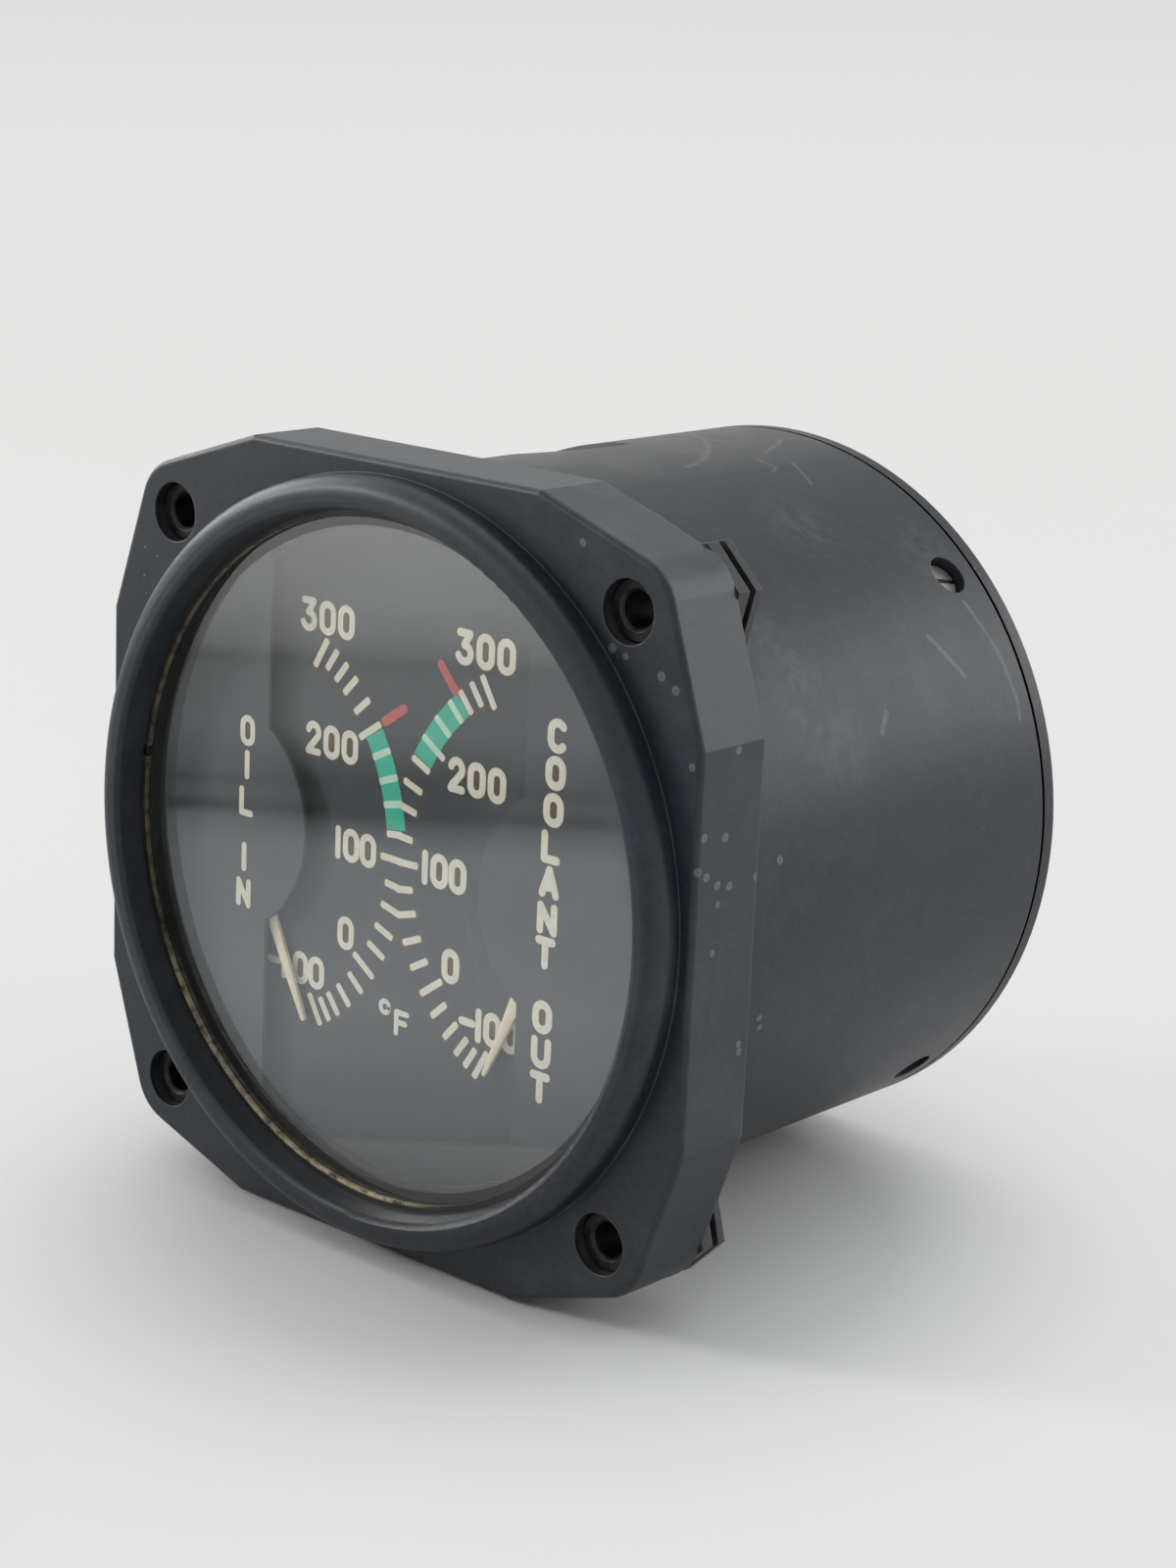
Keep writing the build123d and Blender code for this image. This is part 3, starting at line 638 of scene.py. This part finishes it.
def bar(bm, start, end, width, y_front, y_back, corner=0.17):
    """A painted dash with square ends and small slanted corners."""
    length = math.hypot(end[0] - start[0], end[1] - start[1])
    ux, uz = (end[0] - start[0]) / length, (end[1] - start[1]) / length
    half = width / 2
    places = [
        (0, half - corner), (corner, half), (length - corner, half), (length, half - corner),
        (length, corner - half), (length - corner, -half), (corner, -half), (0, corner - half),
    ]
    outline = [(start[0] + ux * a - uz * b, start[1] + uz * a + ux * b) for a, b in places]
    prism(bm, outline, y_front, y_back)


def arc(cx, cz, rx, rz, start, end, steps=14):
    """Points along an ellipse, from one angle in degrees to another."""
    turns = [math.radians(start + (end - start) * i / steps) for i in range(steps + 1)]
    return [(cx + rx * math.cos(a), cz + rz * math.sin(a)) for a in turns]


def stadium(half_width, half_height, steps=12):
    """A closed upright outline with half-round ends."""
    top = arc(0, half_height - half_width, half_width, half_width, 0, 180, steps)
    bottom = arc(0, half_width - half_height, half_width, half_width, 180, 360, steps)
    return top + bottom


# Letter forms

def glyph(char, a, b):
    """Strokes of a character, as points and whether they close. Its half width a and half height b
    are measured to the middle of the stroke."""
    if char in "0O":
        return [(stadium(a, b), True)]
    if char == "1" or char == "I":
        return [([(0, -b), (0, b)], False)]
    if char == "-":
        return [([(-a * 0.9, 0), (a * 0.9, 0)], False)]
    if char == "2":
        top = arc(0, b - a, a * 0.92, a, 165, -25, 14)
        sweep = [(a * 0.55, b * 0.02), (a * 0.05, -b * 0.34), (-a * 0.55, -b * 0.68), (-a * 0.9, -b)]
        return [(top + sweep, False), ([(-a * 0.9, -b), (a * 0.95, -b)], False)]
    if char == "3":
        bowl = arc(-a * 0.05, -b + a, a * 1.02, a, 92, -158, 18)
        return [
            ([(-a * 0.85, b), (a * 0.80, b)], False),
            ([(a * 0.80, b), (-a * 0.10, -b + 2 * a)], False),
            (bowl, False),
        ]
    if char == "C":
        lower = arc(0, -b + a, a, a, 180, 320, 10)
        upper = arc(0, b - a, a, a, 40, 180, 10)
        return [(upper + lower, False)]
    if char == "L":
        return [([(-a, b), (-a, -b)], False), ([(-a, -b), (a * 0.85, -b)], False)]
    if char == "N":
        return [([(-a, -b), (-a, b)], False), ([(-a, b), (a, -b)], False), ([(a, -b), (a, b)], False)]
    if char == "A":
        return [
            ([(-a, -b), (0, b)], False),
            ([(0, b), (a, -b)], False),
            ([(-a * 0.6, -b * 0.42), (a * 0.6, -b * 0.42)], False),
        ]
    if char == "T":
        return [([(-a, b), (a, b)], False), ([(0, b), (0, -b)], False)]
    if char == "U":
        return [([(-a, b)] + arc(0, -b + a, a, a, 180, 360, 12) + [(a, b)], False)]
    if char == "F":
        return [
            ([(-a, -b), (-a, b)], False),
            ([(-a, b), (a, b)], False),
            ([(-a, b * 0.05), (a * 0.7, b * 0.05)], False),
        ]
    raise ValueError(char)


def draw_glyph(bm, char, x, z, half_width, half_height, width, y_front, y_back):
    """Draws a character. Each further stroke lies a hair higher, so that no two faces coincide."""
    for index, (points, closed) in enumerate(glyph(char, half_width, half_height)):
        moved = [(x + px, z + pz) for px, pz in points]
        stroke(bm, moved, width, y_front - LAYER_STEP * index, y_back, closed)


# Dial artwork: plain scales, numerals and function words

# Angle of the mark for each 20 degrees Fahrenheit from -100 to 300, seen from the pivot
LOWEST = -100
HIGHEST = 300
STEP = 20
TICK_ANGLES = [
    -60.0, -56.3, -52.4, -47.3, -41.1, -35.0, -28.2, -21.8, -14.9, -8.4, -1.3,
    5.5, 13.4, 19.9, 26.7, 33.5, 40.2, 46.5, 51.0, 55.4, 59.5,
]
TICK_OUTER = 24.1
TICK_SHORT = 21.35
TICK_LONG = 20.45
TICK_WIDTH = 0.74

# Thickness of the coats of paint, and how much one that meets another is raised
MARK_DEPTH = 0.03
BAND_DEPTH = 0.02
FILL_DEPTH = 0.008
RIM_DEPTH = 0.005
TICK_RIM_DEPTH = 0.004
LAYER_STEP = 0.002

# How much wider than its stroke the brown rim of a mark is
RIM = 0.22

# First and last value of each green band, and how far it starts from the marks there in degrees
GREEN = {-1: (120, 200), 1: (180, 260)}
GREEN_END = 1.2
GREEN_INSET = 0.05

# Angle and inner radius of each red line
RED = {-1: (33.5, 24.8), 1: (49.6, 24.3)}
RED_LENGTH = 3.15
RED_WIDTH = 1.0

# The printed scales lie a little off the pivots: turn in degrees and shift
SCALE_TURN = {-1: 0.57, 1: -0.86}
SCALE_SHIFT = {-1: (-0.10, 0.05), 1: (-0.20, 0.56)}

# Numerals of the scales: figures, x and z of the middle, and width of a figure's place
NUMERALS = [
    ("300", -11.35, 23.1, 2.72),
    ("200", -10.35, 10.2, 2.68),
    ("100", -6.6, -0.15, 2.45),
    ("0", -7.6, -9.7, 2.5),
    ("-1 00", -14.9, -15.1, 2.4),
    ("300", 10.8, 23.5, 2.8),
    ("200", 10.2, 10.4, 2.75),
    ("100", 6.05, -0.05, 2.55),
    ("0", 7.5, -9.6, 2.5),
    ("-100", 13.2, -14.85, 2.45),
]
NARROW = {"1": 0.58, "-": 0.72, " ": 0.25}
NUMERAL_HALF = (0.83, 1.43)
NUMERAL_FILL = (0.62, 1.22)
NUMERAL_WIDTH = {-1: 0.75, 1: 0.83}

# Degree sign: middle, radii and stroke, and the F after it: middle, half size and stroke
DEGREE_SIGN = ((-1.6, -16.2), (0.60, 0.62), 0.55)
LETTER_F = ((0.85, -17.45), (0.75, 1.12), 0.62)

# Function words: side, letters, x at the height of the axis, lean of the column, and the letters' heights
WORDS = [
    ("left", "OIL", -21.26, 0.0, [9.6, 5.9, 1.9]),
    ("left", "IN", -21.5, 0.0, [-4.2, -8.15]),
    ("right", "COOLANT", 21.7, 0.0225, [17.5, 13.8, 10.1, 6.35, 2.85, -0.9, -4.4]),
    ("right", "OUT", 21.6, 0.0, [-11.0, -14.7, -18.3]),
]

# Half width, half height and stroke of the letters of each side
LETTERS = {"left": (0.76, 1.24, 0.72), "right": (0.89, 1.22, 0.87)}
ROUND_OVERSHOOT = 0.07
ROUND_FILL_INSET = 0.2


def coat(face_y, depth):
    """Front and back of a coat of paint on a face."""
    return face_y - depth, face_y


def moved_by(points, x, z):
    return [(x + px, z + pz) for px, pz in points]


def tick_angle(value):
    return TICK_ANGLES[(value - LOWEST) // STEP]


def polar(side, radius, degrees):
    """A place of the printed scale, from its radius and angle at the pivot."""
    a = math.radians(degrees + SCALE_TURN[side])
    dx, dz = SCALE_SHIFT[side]
    return (side * (PIVOT_X - radius * math.cos(a)) + dx, radius * math.sin(a) + dz)


def tick_ends(side, value):
    """Both ends of a mark. Where the two scales meet, it ends just past the middle line."""
    angle = tick_angle(value)
    inner = TICK_LONG if value % 100 == 0 else TICK_SHORT
    reach = PIVOT_X / math.cos(math.radians(angle))
    outer = min(TICK_OUTER, reach + TICK_WIDTH / 2)
    return polar(side, inner, angle), polar(side, outer, angle)


def draw_ticks(cream, pale_green, stain):
    rims = bmesh.new()
    cream_marks = bmesh.new()
    green_marks = bmesh.new()
    for side in (-1, 1):
        low, high = GREEN[side]
        on_right = side > 0
        for value in range(LOWEST, HIGHEST + 1, STEP):
            ends = tick_ends(side, value)
            inside = low < value < high
            target = green_marks if inside else cream_marks
            lift = MARK_DEPTH + BAND_DEPTH * inside + LAYER_STEP * on_right
            bar(target, *ends, TICK_WIDTH, *coat(DIAL_Y, lift))
            if not inside:
                rim_lift = TICK_RIM_DEPTH + LAYER_STEP / 2 * on_right
                stroke(rims, list(ends), TICK_WIDTH + RIM, *coat(DIAL_Y, rim_lift))
            elif value % 100 == 0:
                angle = tick_angle(value)
                root = polar(side, TICK_LONG, angle), polar(side, TICK_SHORT + 0.1, angle)
                bar(cream_marks, *root, TICK_WIDTH, *coat(DIAL_Y, lift + LAYER_STEP))
    new_object("scale_ticks", cream_marks, cream, CASE)
    new_object("tick_rims", rims, stain, CASE)
    new_object("scale_ticks_in_green", green_marks, pale_green, CASE)


def draw_bands(green, red):
    for side, label in ((-1, "oil"), (1, "coolant")):
        bm = bmesh.new()
        low, high = GREEN[side]
        start = tick_angle(low) + GREEN_END
        end = tick_angle(high) - GREEN_END
        turns = [start + (end - start) * i / 20 for i in range(21)]
        outline = [polar(side, TICK_OUTER - GREEN_INSET, a) for a in turns]
        outline += [polar(side, TICK_SHORT + GREEN_INSET, a) for a in reversed(turns)]
        prism(bm, outline, *coat(DIAL_Y, BAND_DEPTH))
        new_object(label + "_green_band", bm, green, CASE)
        bm = bmesh.new()
        angle, near = RED[side]
        line = [polar(side, near, angle), polar(side, near + RED_LENGTH, angle)]
        stroke(bm, line, RED_WIDTH, *coat(DIAL_Y, MARK_DEPTH))
        new_object(label + "_red_line", bm, red, CASE)


def numeral_layout(text, pitch):
    """Each figure of a number with its offset from the middle."""
    places = []
    x = 0.0
    for char in text:
        step = pitch * NARROW.get(char, 1.0)
        places.append(x + step / 2)
        x += step
    return [(char, place - x / 2) for char, place in zip(text, places) if char != " "]


def draw_numerals(cream, stain):
    bm = bmesh.new()
    inner = bmesh.new()
    for text, middle, z, pitch in NUMERALS:
        width = NUMERAL_WIDTH[1 if middle > 0 else -1]
        for char, offset in numeral_layout(text, pitch):
            x = middle + offset
            draw_glyph(bm, char, x, z, *NUMERAL_HALF, width, *coat(DIAL_Y, MARK_DEPTH))
            draw_glyph(inner, char, x, z, *NUMERAL_HALF, width + RIM, *coat(DIAL_Y, RIM_DEPTH))
            if char == "0":
                prism(inner, moved_by(stadium(*NUMERAL_FILL), x, z), *coat(DIAL_Y, FILL_DEPTH))
    centre, radii, width = DEGREE_SIGN
    ring = arc(0, 0, *radii, 0, 345, 18)
    stroke(bm, moved_by(ring, *centre), width, *coat(DIAL_Y, MARK_DEPTH))
    centre, half, width = LETTER_F
    draw_glyph(bm, "F", *centre, *half, width, *coat(DIAL_Y, MARK_DEPTH))
    new_object("dial_numerals", bm, cream, CASE)
    new_object("numeral_stain", inner, stain, CASE)


def draw_words(cream, stain):
    for side, (half_width, half_height, width) in LETTERS.items():
        bm = bmesh.new()
        inner = bmesh.new()
        columns = [column[1:] for column in WORDS if column[0] == side]
        for text, foot, lean, heights in columns:
            for char, z in zip(text, heights):
                x = foot + lean * z
                tall = half_height + (ROUND_OVERSHOOT if char in "OC" else 0.0)
                draw_glyph(bm, char, x, z, half_width, tall, width, *coat(MASK_Y, MARK_DEPTH))
                draw_glyph(inner, char, x, z, half_width, tall, width + RIM, *coat(MASK_Y, RIM_DEPTH))
                if char == "O":
                    fill = stadium(half_width - ROUND_FILL_INSET, tall - ROUND_FILL_INSET)
                    prism(inner, moved_by(fill, x, z), *coat(MASK_Y, FILL_DEPTH))
        new_object("function_word_" + side, bm, cream, CASE)
        new_object("word_stain_" + side, inner, stain, CASE)


# Pointers, with a crowned and pointed blade on the plain hub of each

BLADE_FRONT = 3.02
BLADE_SIDE = 3.12
BLADE_BACK = 3.48
RIDGE_SHARE = 0.45
POINTER_REST = math.radians(63.5)
HUB_R = 1.3
HUB_BORE_R = 0.61
HUB_FRONT = 3.0
HUB_BACK = 5.6

# Along each blade from tail to tip: distance from the pivot, how far the middle lies toward the
# scale's upper end, and half width. The tails and hubs are hidden by the masks.
BLADES = {
    -1: [
        (-4.45, 0.0, 0.80), (-1.5, 0.0, 1.08), (0.0, 0.0, 1.28), (5.0, 0.0, 0.98),
        (10.5, 0.02, 0.76), (15.5, 0.04, 0.62), (18.1, 0.05, 0.54), (20.8, 0.06, 0.41),
        (22.75, 0.06, 0.31), (22.92, 0.06, 0.18),
    ],
    1: [
        (-4.45, 0.0, 0.80), (-1.5, 0.0, 1.08), (0.0, 0.0, 1.28), (4.0, 0.30, 1.24),
        (8.0, 0.56, 1.12), (10.5, 0.54, 0.94), (13.0, 0.46, 0.75), (15.5, 0.38, 0.60),
        (18.1, 0.31, 0.46), (20.8, 0.25, 0.32), (21.8, 0.22, 0.25), (21.95, 0.22, 0.14),
    ],
}


def blade_section(half):
    """Offsets across the blade with their depths. The ridge is lower where the blade is narrow."""
    crown = min(half, 0.5) / 0.5
    ridge = BLADE_SIDE - (BLADE_SIDE - BLADE_FRONT) * crown
    inner = half * RIDGE_SHARE
    return [
        (-half, BLADE_BACK), (-half, BLADE_SIDE), (-inner, ridge + 0.02), (0.0, ridge),
        (inner, ridge + 0.02), (half, BLADE_SIDE), (half, BLADE_BACK),
    ]


def make_pointer(side, body, node, paint):
    bm = bmesh.new()
    rows = []
    for along, middle, half in BLADES[side]:
        row = []
        for off, y in blade_section(half):
            across = middle + off
            x = along * math.cos(POINTER_REST) + across * math.sin(POINTER_REST)
            z = across * math.cos(POINTER_REST) - along * math.sin(POINTER_REST)
            row.append(bm.verts.new((side * (PIVOT_X - x), y, z)))
        rows.append(row)
    count = len(rows[0])
    for a, b in zip(rows, rows[1:]):
        for i in range(count):
            j = (i + 1) % count
            bm.faces.new((a[i], a[j], b[j], b[i]))
    bm.faces.new(rows[0])
    bm.faces.new(list(reversed(rows[-1])))
    outer = moved_by(arc(0, 0, HUB_R, HUB_R, 0, 352.5, 47), side * PIVOT_X, 0.0)
    inner = moved_by(arc(0, 0, HUB_BORE_R, HUB_BORE_R, 0, 352.5, 47), side * PIVOT_X, 0.0)
    ring_prism(bm, outer, inner, HUB_FRONT, HUB_BACK)
    blade = new_object(node + "_blade", bm, paint, body)
    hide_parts(node)


# Stage, camera and light

FLOOR_REACH = 9000.0
SHADOW_MIDDLE = (10.0, 18.0, -41.0)

# The pale card: directions away from the dial and across, distances of its ends with their half
# widths, and its height above the floor
CARD_AHEAD = (-0.70, -0.714, 0.0)
CARD_ACROSS = (0.714, -0.70, 0.0)
CARD_NEAR = (30.0, 420.0)
CARD_FAR = (1100.0, 900.0)
CARD_LIFT = 0.6


def floor_point(x, y, lift=0.0):
    return (x, y, FLOOR_Z + (y - FLOOR_Y) * math.tan(FLOOR_TILT) + lift)


def make_stage():
    """A pale floor that keeps the object's contact shadow. Further off it glows for camera, glossy and
    transmission rays: painted light that thins the object's cast shadow there, and far off an even
    backdrop.
    """
    g = Graph("floor_white")
    cloud = g.noise(60.0, 3.0, 0.5)
    g.color(g.blend(g.ramp(cloud, 0.3, 0.7), (0.855, 0.848, 0.838), (0.88, 0.875, 0.863)))
    g.rough(0.7)
    g.bump(g.noise(1.2, 2.0), 0.02)
    even = g.add("ShaderNodeEmission")
    away = g.distance(SHADOW_MIDDLE)
    tone = g.blend(g.ramp(away, 250.0, 2500.0), (0.795, 0.798, 0.785), BACKGROUND)
    g.link(tone, even.inputs["Color"])
    path = g.add("ShaderNodeLightPath")
    seen = g.greatest([path.outputs[kind] for kind in BACKGROUND_RAYS])
    # Painted light: from 36 to 64 mm off the shadow's middle the floor's glow rises and thins the cast
    # shadow; beyond, it grows into the even backdrop.
    near, far = g.ramp(away, 36.0, 64.0, 0.0, 0.60), g.ramp(away, 64.0, 500.0, 0.0, 0.35)
    share = g.times(seen, g.math("ADD", near, far))
    g.surface(g.mix_shaders(share, g.bsdf.outputs[0], even.outputs[0]))
    bm = bmesh.new()
    corners = [(-1, -1), (1, -1), (1, 1), (-1, 1)]
    places = [floor_point(sx * FLOOR_REACH, sy * FLOOR_REACH) for sx, sy in corners]
    bm.faces.new([bm.verts.new(place) for place in places])
    new_object("stage_floor", bm, g.material, None)


def card_level(g, distance, across):
    """Strength over the card: a wide dark band with two lines in it, and a thin one further off."""
    middle = g.math(
        "MINIMUM",
        g.ramp(across, -24.0, -10.0, 0.50, 0.89),
        g.ramp(across, 13.0, 22.0, 0.89, 0.64),
    )
    wide = g.times(g.band(distance, (160.0, 182.0), (207.0, 245.0)), middle)
    thin = g.times(g.band(distance, (293.0, 303.0), (306.0, 320.0)), 0.28)
    first = g.times(g.band(distance, (178.0, 183.0), (186.0, 191.0)), 0.75)
    second = g.times(g.band(distance, (196.0, 201.0), (203.0, 208.0)), 0.45)
    far = g.math(
        "ADD",
        g.ramp(distance, 292.0, 375.0, 0.53, 1.27),
        g.ramp(distance, 375.0, 470.0, 0.0, 0.42),
    )
    near = g.math(
        "ADD",
        g.ramp(distance, 190.0, 174.0, 0.0, 0.24),
        g.ramp(distance, 165.0, 60.0, 0.0, 0.20),
    )
    return g.times(
        g.math("ADD", far, near),
        g.ramp(across, 34.0, 44.0, 1.0, 0.45),
        g.math("SUBTRACT", 1.0, g.math("MAXIMUM", wide, thin)),
        g.math("SUBTRACT", 1.0, g.math("MAXIMUM", first, second)),
        g.ramp(distance, 30.0, 80.0, 0.60, 1.0),
    )


def make_reflected_card():
    """A pale card on the floor in front, with dark bands. Only gloss sees it, as the glass does."""
    g = Graph("stage_card")
    distance, across = g.along(CARD_AHEAD), g.along(CARD_ACROSS)
    glow = g.add("ShaderNodeEmission")
    tone = g.blend(g.ramp(distance, 180.0, 330.0), (0.90, 0.97, 1.0), (0.985, 1.0, 0.98))
    g.link(tone, glow.inputs["Color"])
    g.link(card_level(g, distance, across), glow.inputs["Strength"])
    g.surface(glow.outputs[0])
    bm = bmesh.new()
    corners = []
    for (away, reach), sides in ((CARD_NEAR, (-1, 1)), (CARD_FAR, (1, -1))):
        for side in sides:
            spot = Vector(CARD_AHEAD) * away + Vector(CARD_ACROSS) * reach * side
            corners.append(bm.verts.new(floor_point(spot.x, spot.y, CARD_LIFT)))
    bm.faces.new(corners)
    card = new_object("stage_card", bm, g.material, None)
    card.visible_camera = False
    card.visible_diffuse = False
    card.visible_shadow = False


# The camera, fitted to the photograph: place in millimetres, directions and lens
CAMERA_PLACE = (221.46, -223.60, 91.93)
CAMERA_FORWARD = (-0.63383, 0.73052, -0.25417)
CAMERA_UP = (-0.20014, 0.16251, 0.96619)
LENS = 74.33
SENSOR = 36.0


def make_camera():
    data = bpy.data.cameras.new("view_camera")
    data.sensor_fit = "AUTO"
    data.sensor_width = SENSOR
    data.lens = LENS
    data.clip_start = 0.01
    data.clip_end = 100.0
    forward = Vector(CAMERA_FORWARD).normalized()
    right = forward.cross(Vector(CAMERA_UP)).normalized()
    up = right.cross(forward).normalized()
    camera = bpy.data.objects.new("view_camera", data)
    bpy.context.scene.collection.objects.link(camera)
    columns = Matrix((right, up, -forward)).transposed().to_4x4()
    camera.matrix_world = Matrix.Translation(Vector(CAMERA_PLACE) * MM) @ columns
    bpy.context.scene.camera = camera


# Lamps: place and target in metres, size, watts, and whether matt surfaces are lit too
LAMPS = {
    "key_top": ((-0.10, 0.25, 1.6), (0, 0.03, 0), (1.2, 1.2), 4.0, True),
    "glow_right": ((1.095, 1.753, 0.752), (0, 0.03, 0), (2.0, 0.9), 13.0, True),
    "window_front": ((-1.83, -1.166, 0.76), (0, 0, 0), (0.5, 0.5), 19.0, True),
    "window_left": ((-1.1, 0.05, 0.45), (0, 0, 0), (0.5, 0.6), 5.0, False),
}

# The room's light: colour, direction in which it grows, and level in the middle
ROOM_COLOR = (0.95, 0.975, 1.0)
ROOM_SLOPE = (-0.05, 0.42, 0.25)
ROOM_LEVEL = 0.45


def area_light(name, place, target, size, power, lights_matt):
    data = bpy.data.lights.new(name, "AREA")
    data.shape = "RECTANGLE"
    data.size, data.size_y = size
    data.energy = power
    light = bpy.data.objects.new(name, data)
    bpy.context.scene.collection.objects.link(light)
    light.location = place
    light.rotation_euler = (Vector(target) - Vector(place)).to_track_quat("-Z", "Y").to_euler()
    light.visible_diffuse = lights_matt


def make_world():
    """Soft light that grows toward the rear and the top, and an even pale background."""
    world = bpy.data.worlds.new("studio")
    bpy.context.scene.world = world
    world.use_nodes = True
    nodes = world.node_tree.nodes
    links = world.node_tree.links
    room = nodes["Background"]
    room.inputs["Color"].default_value = (*ROOM_COLOR, 1.0)
    coord = nodes.new("ShaderNodeTexCoord")
    slope = nodes.new("ShaderNodeVectorMath")
    slope.operation = "DOT_PRODUCT"
    slope.inputs[1].default_value = ROOM_SLOPE
    level = nodes.new("ShaderNodeMath")
    level.operation = "ADD"
    level.inputs[1].default_value = ROOM_LEVEL
    links.new(coord.outputs["Generated"], slope.inputs[0])
    links.new(slope.outputs["Value"], level.inputs[0])
    links.new(level.outputs[0], room.inputs["Strength"])
    seen = nodes.new("ShaderNodeBackground")
    seen.inputs["Color"].default_value = (*BACKGROUND, 1.0)
    path = nodes.new("ShaderNodeLightPath")
    meets = path.outputs[BACKGROUND_RAYS[0]]
    for kind in BACKGROUND_RAYS[1:]:
        either = nodes.new("ShaderNodeMath")
        either.operation = "MAXIMUM"
        links.new(meets, either.inputs[0])
        links.new(path.outputs[kind], either.inputs[1])
        meets = either.outputs[0]
    mix = nodes.new("ShaderNodeMixShader")
    links.new(meets, mix.inputs["Fac"])
    links.new(room.outputs[0], mix.inputs[1])
    links.new(seen.outputs[0], mix.inputs[2])
    links.new(mix.outputs[0], nodes["World Output"].inputs["Surface"])


def make_light():
    make_world()
    for name, settings in LAMPS.items():
        area_light(name, *settings)


# Assembly

def slot_materials():
    """A material for each slot of the record."""
    return {
        "case_black": case_material(),
        "brass": metal_material("clean_brass", (0.66, 0.50, 0.26), (0.50, 0.37, 0.18), 0.32),
        "glass": glass_material(),
        "rubber": rubber_material(),
        "dial_black": dial_material("dial_matt_black", (0.033, 0.038, 0.043), (0.041, 0.046, 0.051)),
        "pointer_cream": pointer_material(),
        "steel": metal_material("dull_steel", (0.52, 0.51, 0.49), (0.30, 0.29, 0.27), 0.38, 0.5),
        "magnet": metal_material("ground_magnet", (0.30, 0.30, 0.31), (0.20, 0.20, 0.21), 0.4),
        "aluminium": metal_material(
            "satin_aluminium", (0.60, 0.60, 0.60), (0.48, 0.48, 0.47), 0.36, 0.8,
            edge_color=(0.75, 0.75, 0.75),
        ),
        "phenolic": phenolic_material(),
        "copper": winding_material(),
        "resistor": paint_material(
            "resistor_lacquer", (0.36, 0.20, 0.10), (0.20, 0.10, 0.05), 0.6, 0.35, 0.01,
        ),
        "insert_metal": insert_material(),
    }


def dress_nodes():
    by_slot = slot_materials()
    # The masks' paint is lighter than the dial's: painted light that makes up for the shade the bezel
    # casts on them.
    mask = dial_material("mask_black_lightened_for_shade", (0.046, 0.051, 0.057), (0.058, 0.064, 0.070))
    own = {
        "retaining_ring": ring_material(),
        # The screws' steel is painted lighter than its own tone, a painted light that makes up for the
        # shade in their holes.
        "cover_screws": metal_material(
            "screw_steel_lightened_for_shade", (0.40, 0.395, 0.39), (0.25, 0.245, 0.24), 0.38, 0.5, 0.6,
        ),
        "oil_mask": mask,
        "coolant_mask": mask,
    }
    slots = {part["node"]: part["material_slot"] for part in frame["record"]["subparts"]}
    for name, obj in NODES.items():
        obj.data.materials.clear()
        obj.data.materials.append(own.get(name, by_slot[slots[name]]))
    make_pointer(-1, "oil_movement", "oil_pointer", by_slot["pointer_cream"])
    make_pointer(1, "coolant_movement", "coolant_pointer", by_slot["pointer_cream"])


def make_dial():
    cream = paint_material("mark_cream", (0.92, 0.875, 0.73), (0.78, 0.73, 0.58), 0.35, 0.6, 0.006)
    pale = paint_material("mark_pale_green", (0.64, 0.93, 0.72), (0.52, 0.78, 0.59), 0.35, 0.6, 0.006)
    green = paint_material("band_green", (0.026, 0.58, 0.375), (0.020, 0.48, 0.315), 0.5, 0.6, 0.006)
    red = paint_material("line_red", (0.66, 0.10, 0.10), (0.56, 0.075, 0.08), 0.5, 0.6, 0.02)
    stain = paint_material("brown_stain", (0.155, 0.083, 0.040), (0.075, 0.042, 0.022), 0.4, 0.8, 0.002)
    draw_ticks(cream, pale, stain)
    draw_bands(green, red)
    draw_numerals(cream, stain)
    draw_words(cream, stain)


dress_nodes()
make_dial()
make_stage()
make_reflected_card()
make_camera()
make_light()

view = bpy.context.scene.view_settings
view.view_transform = "Standard"
bpy.context.view_layer.update()
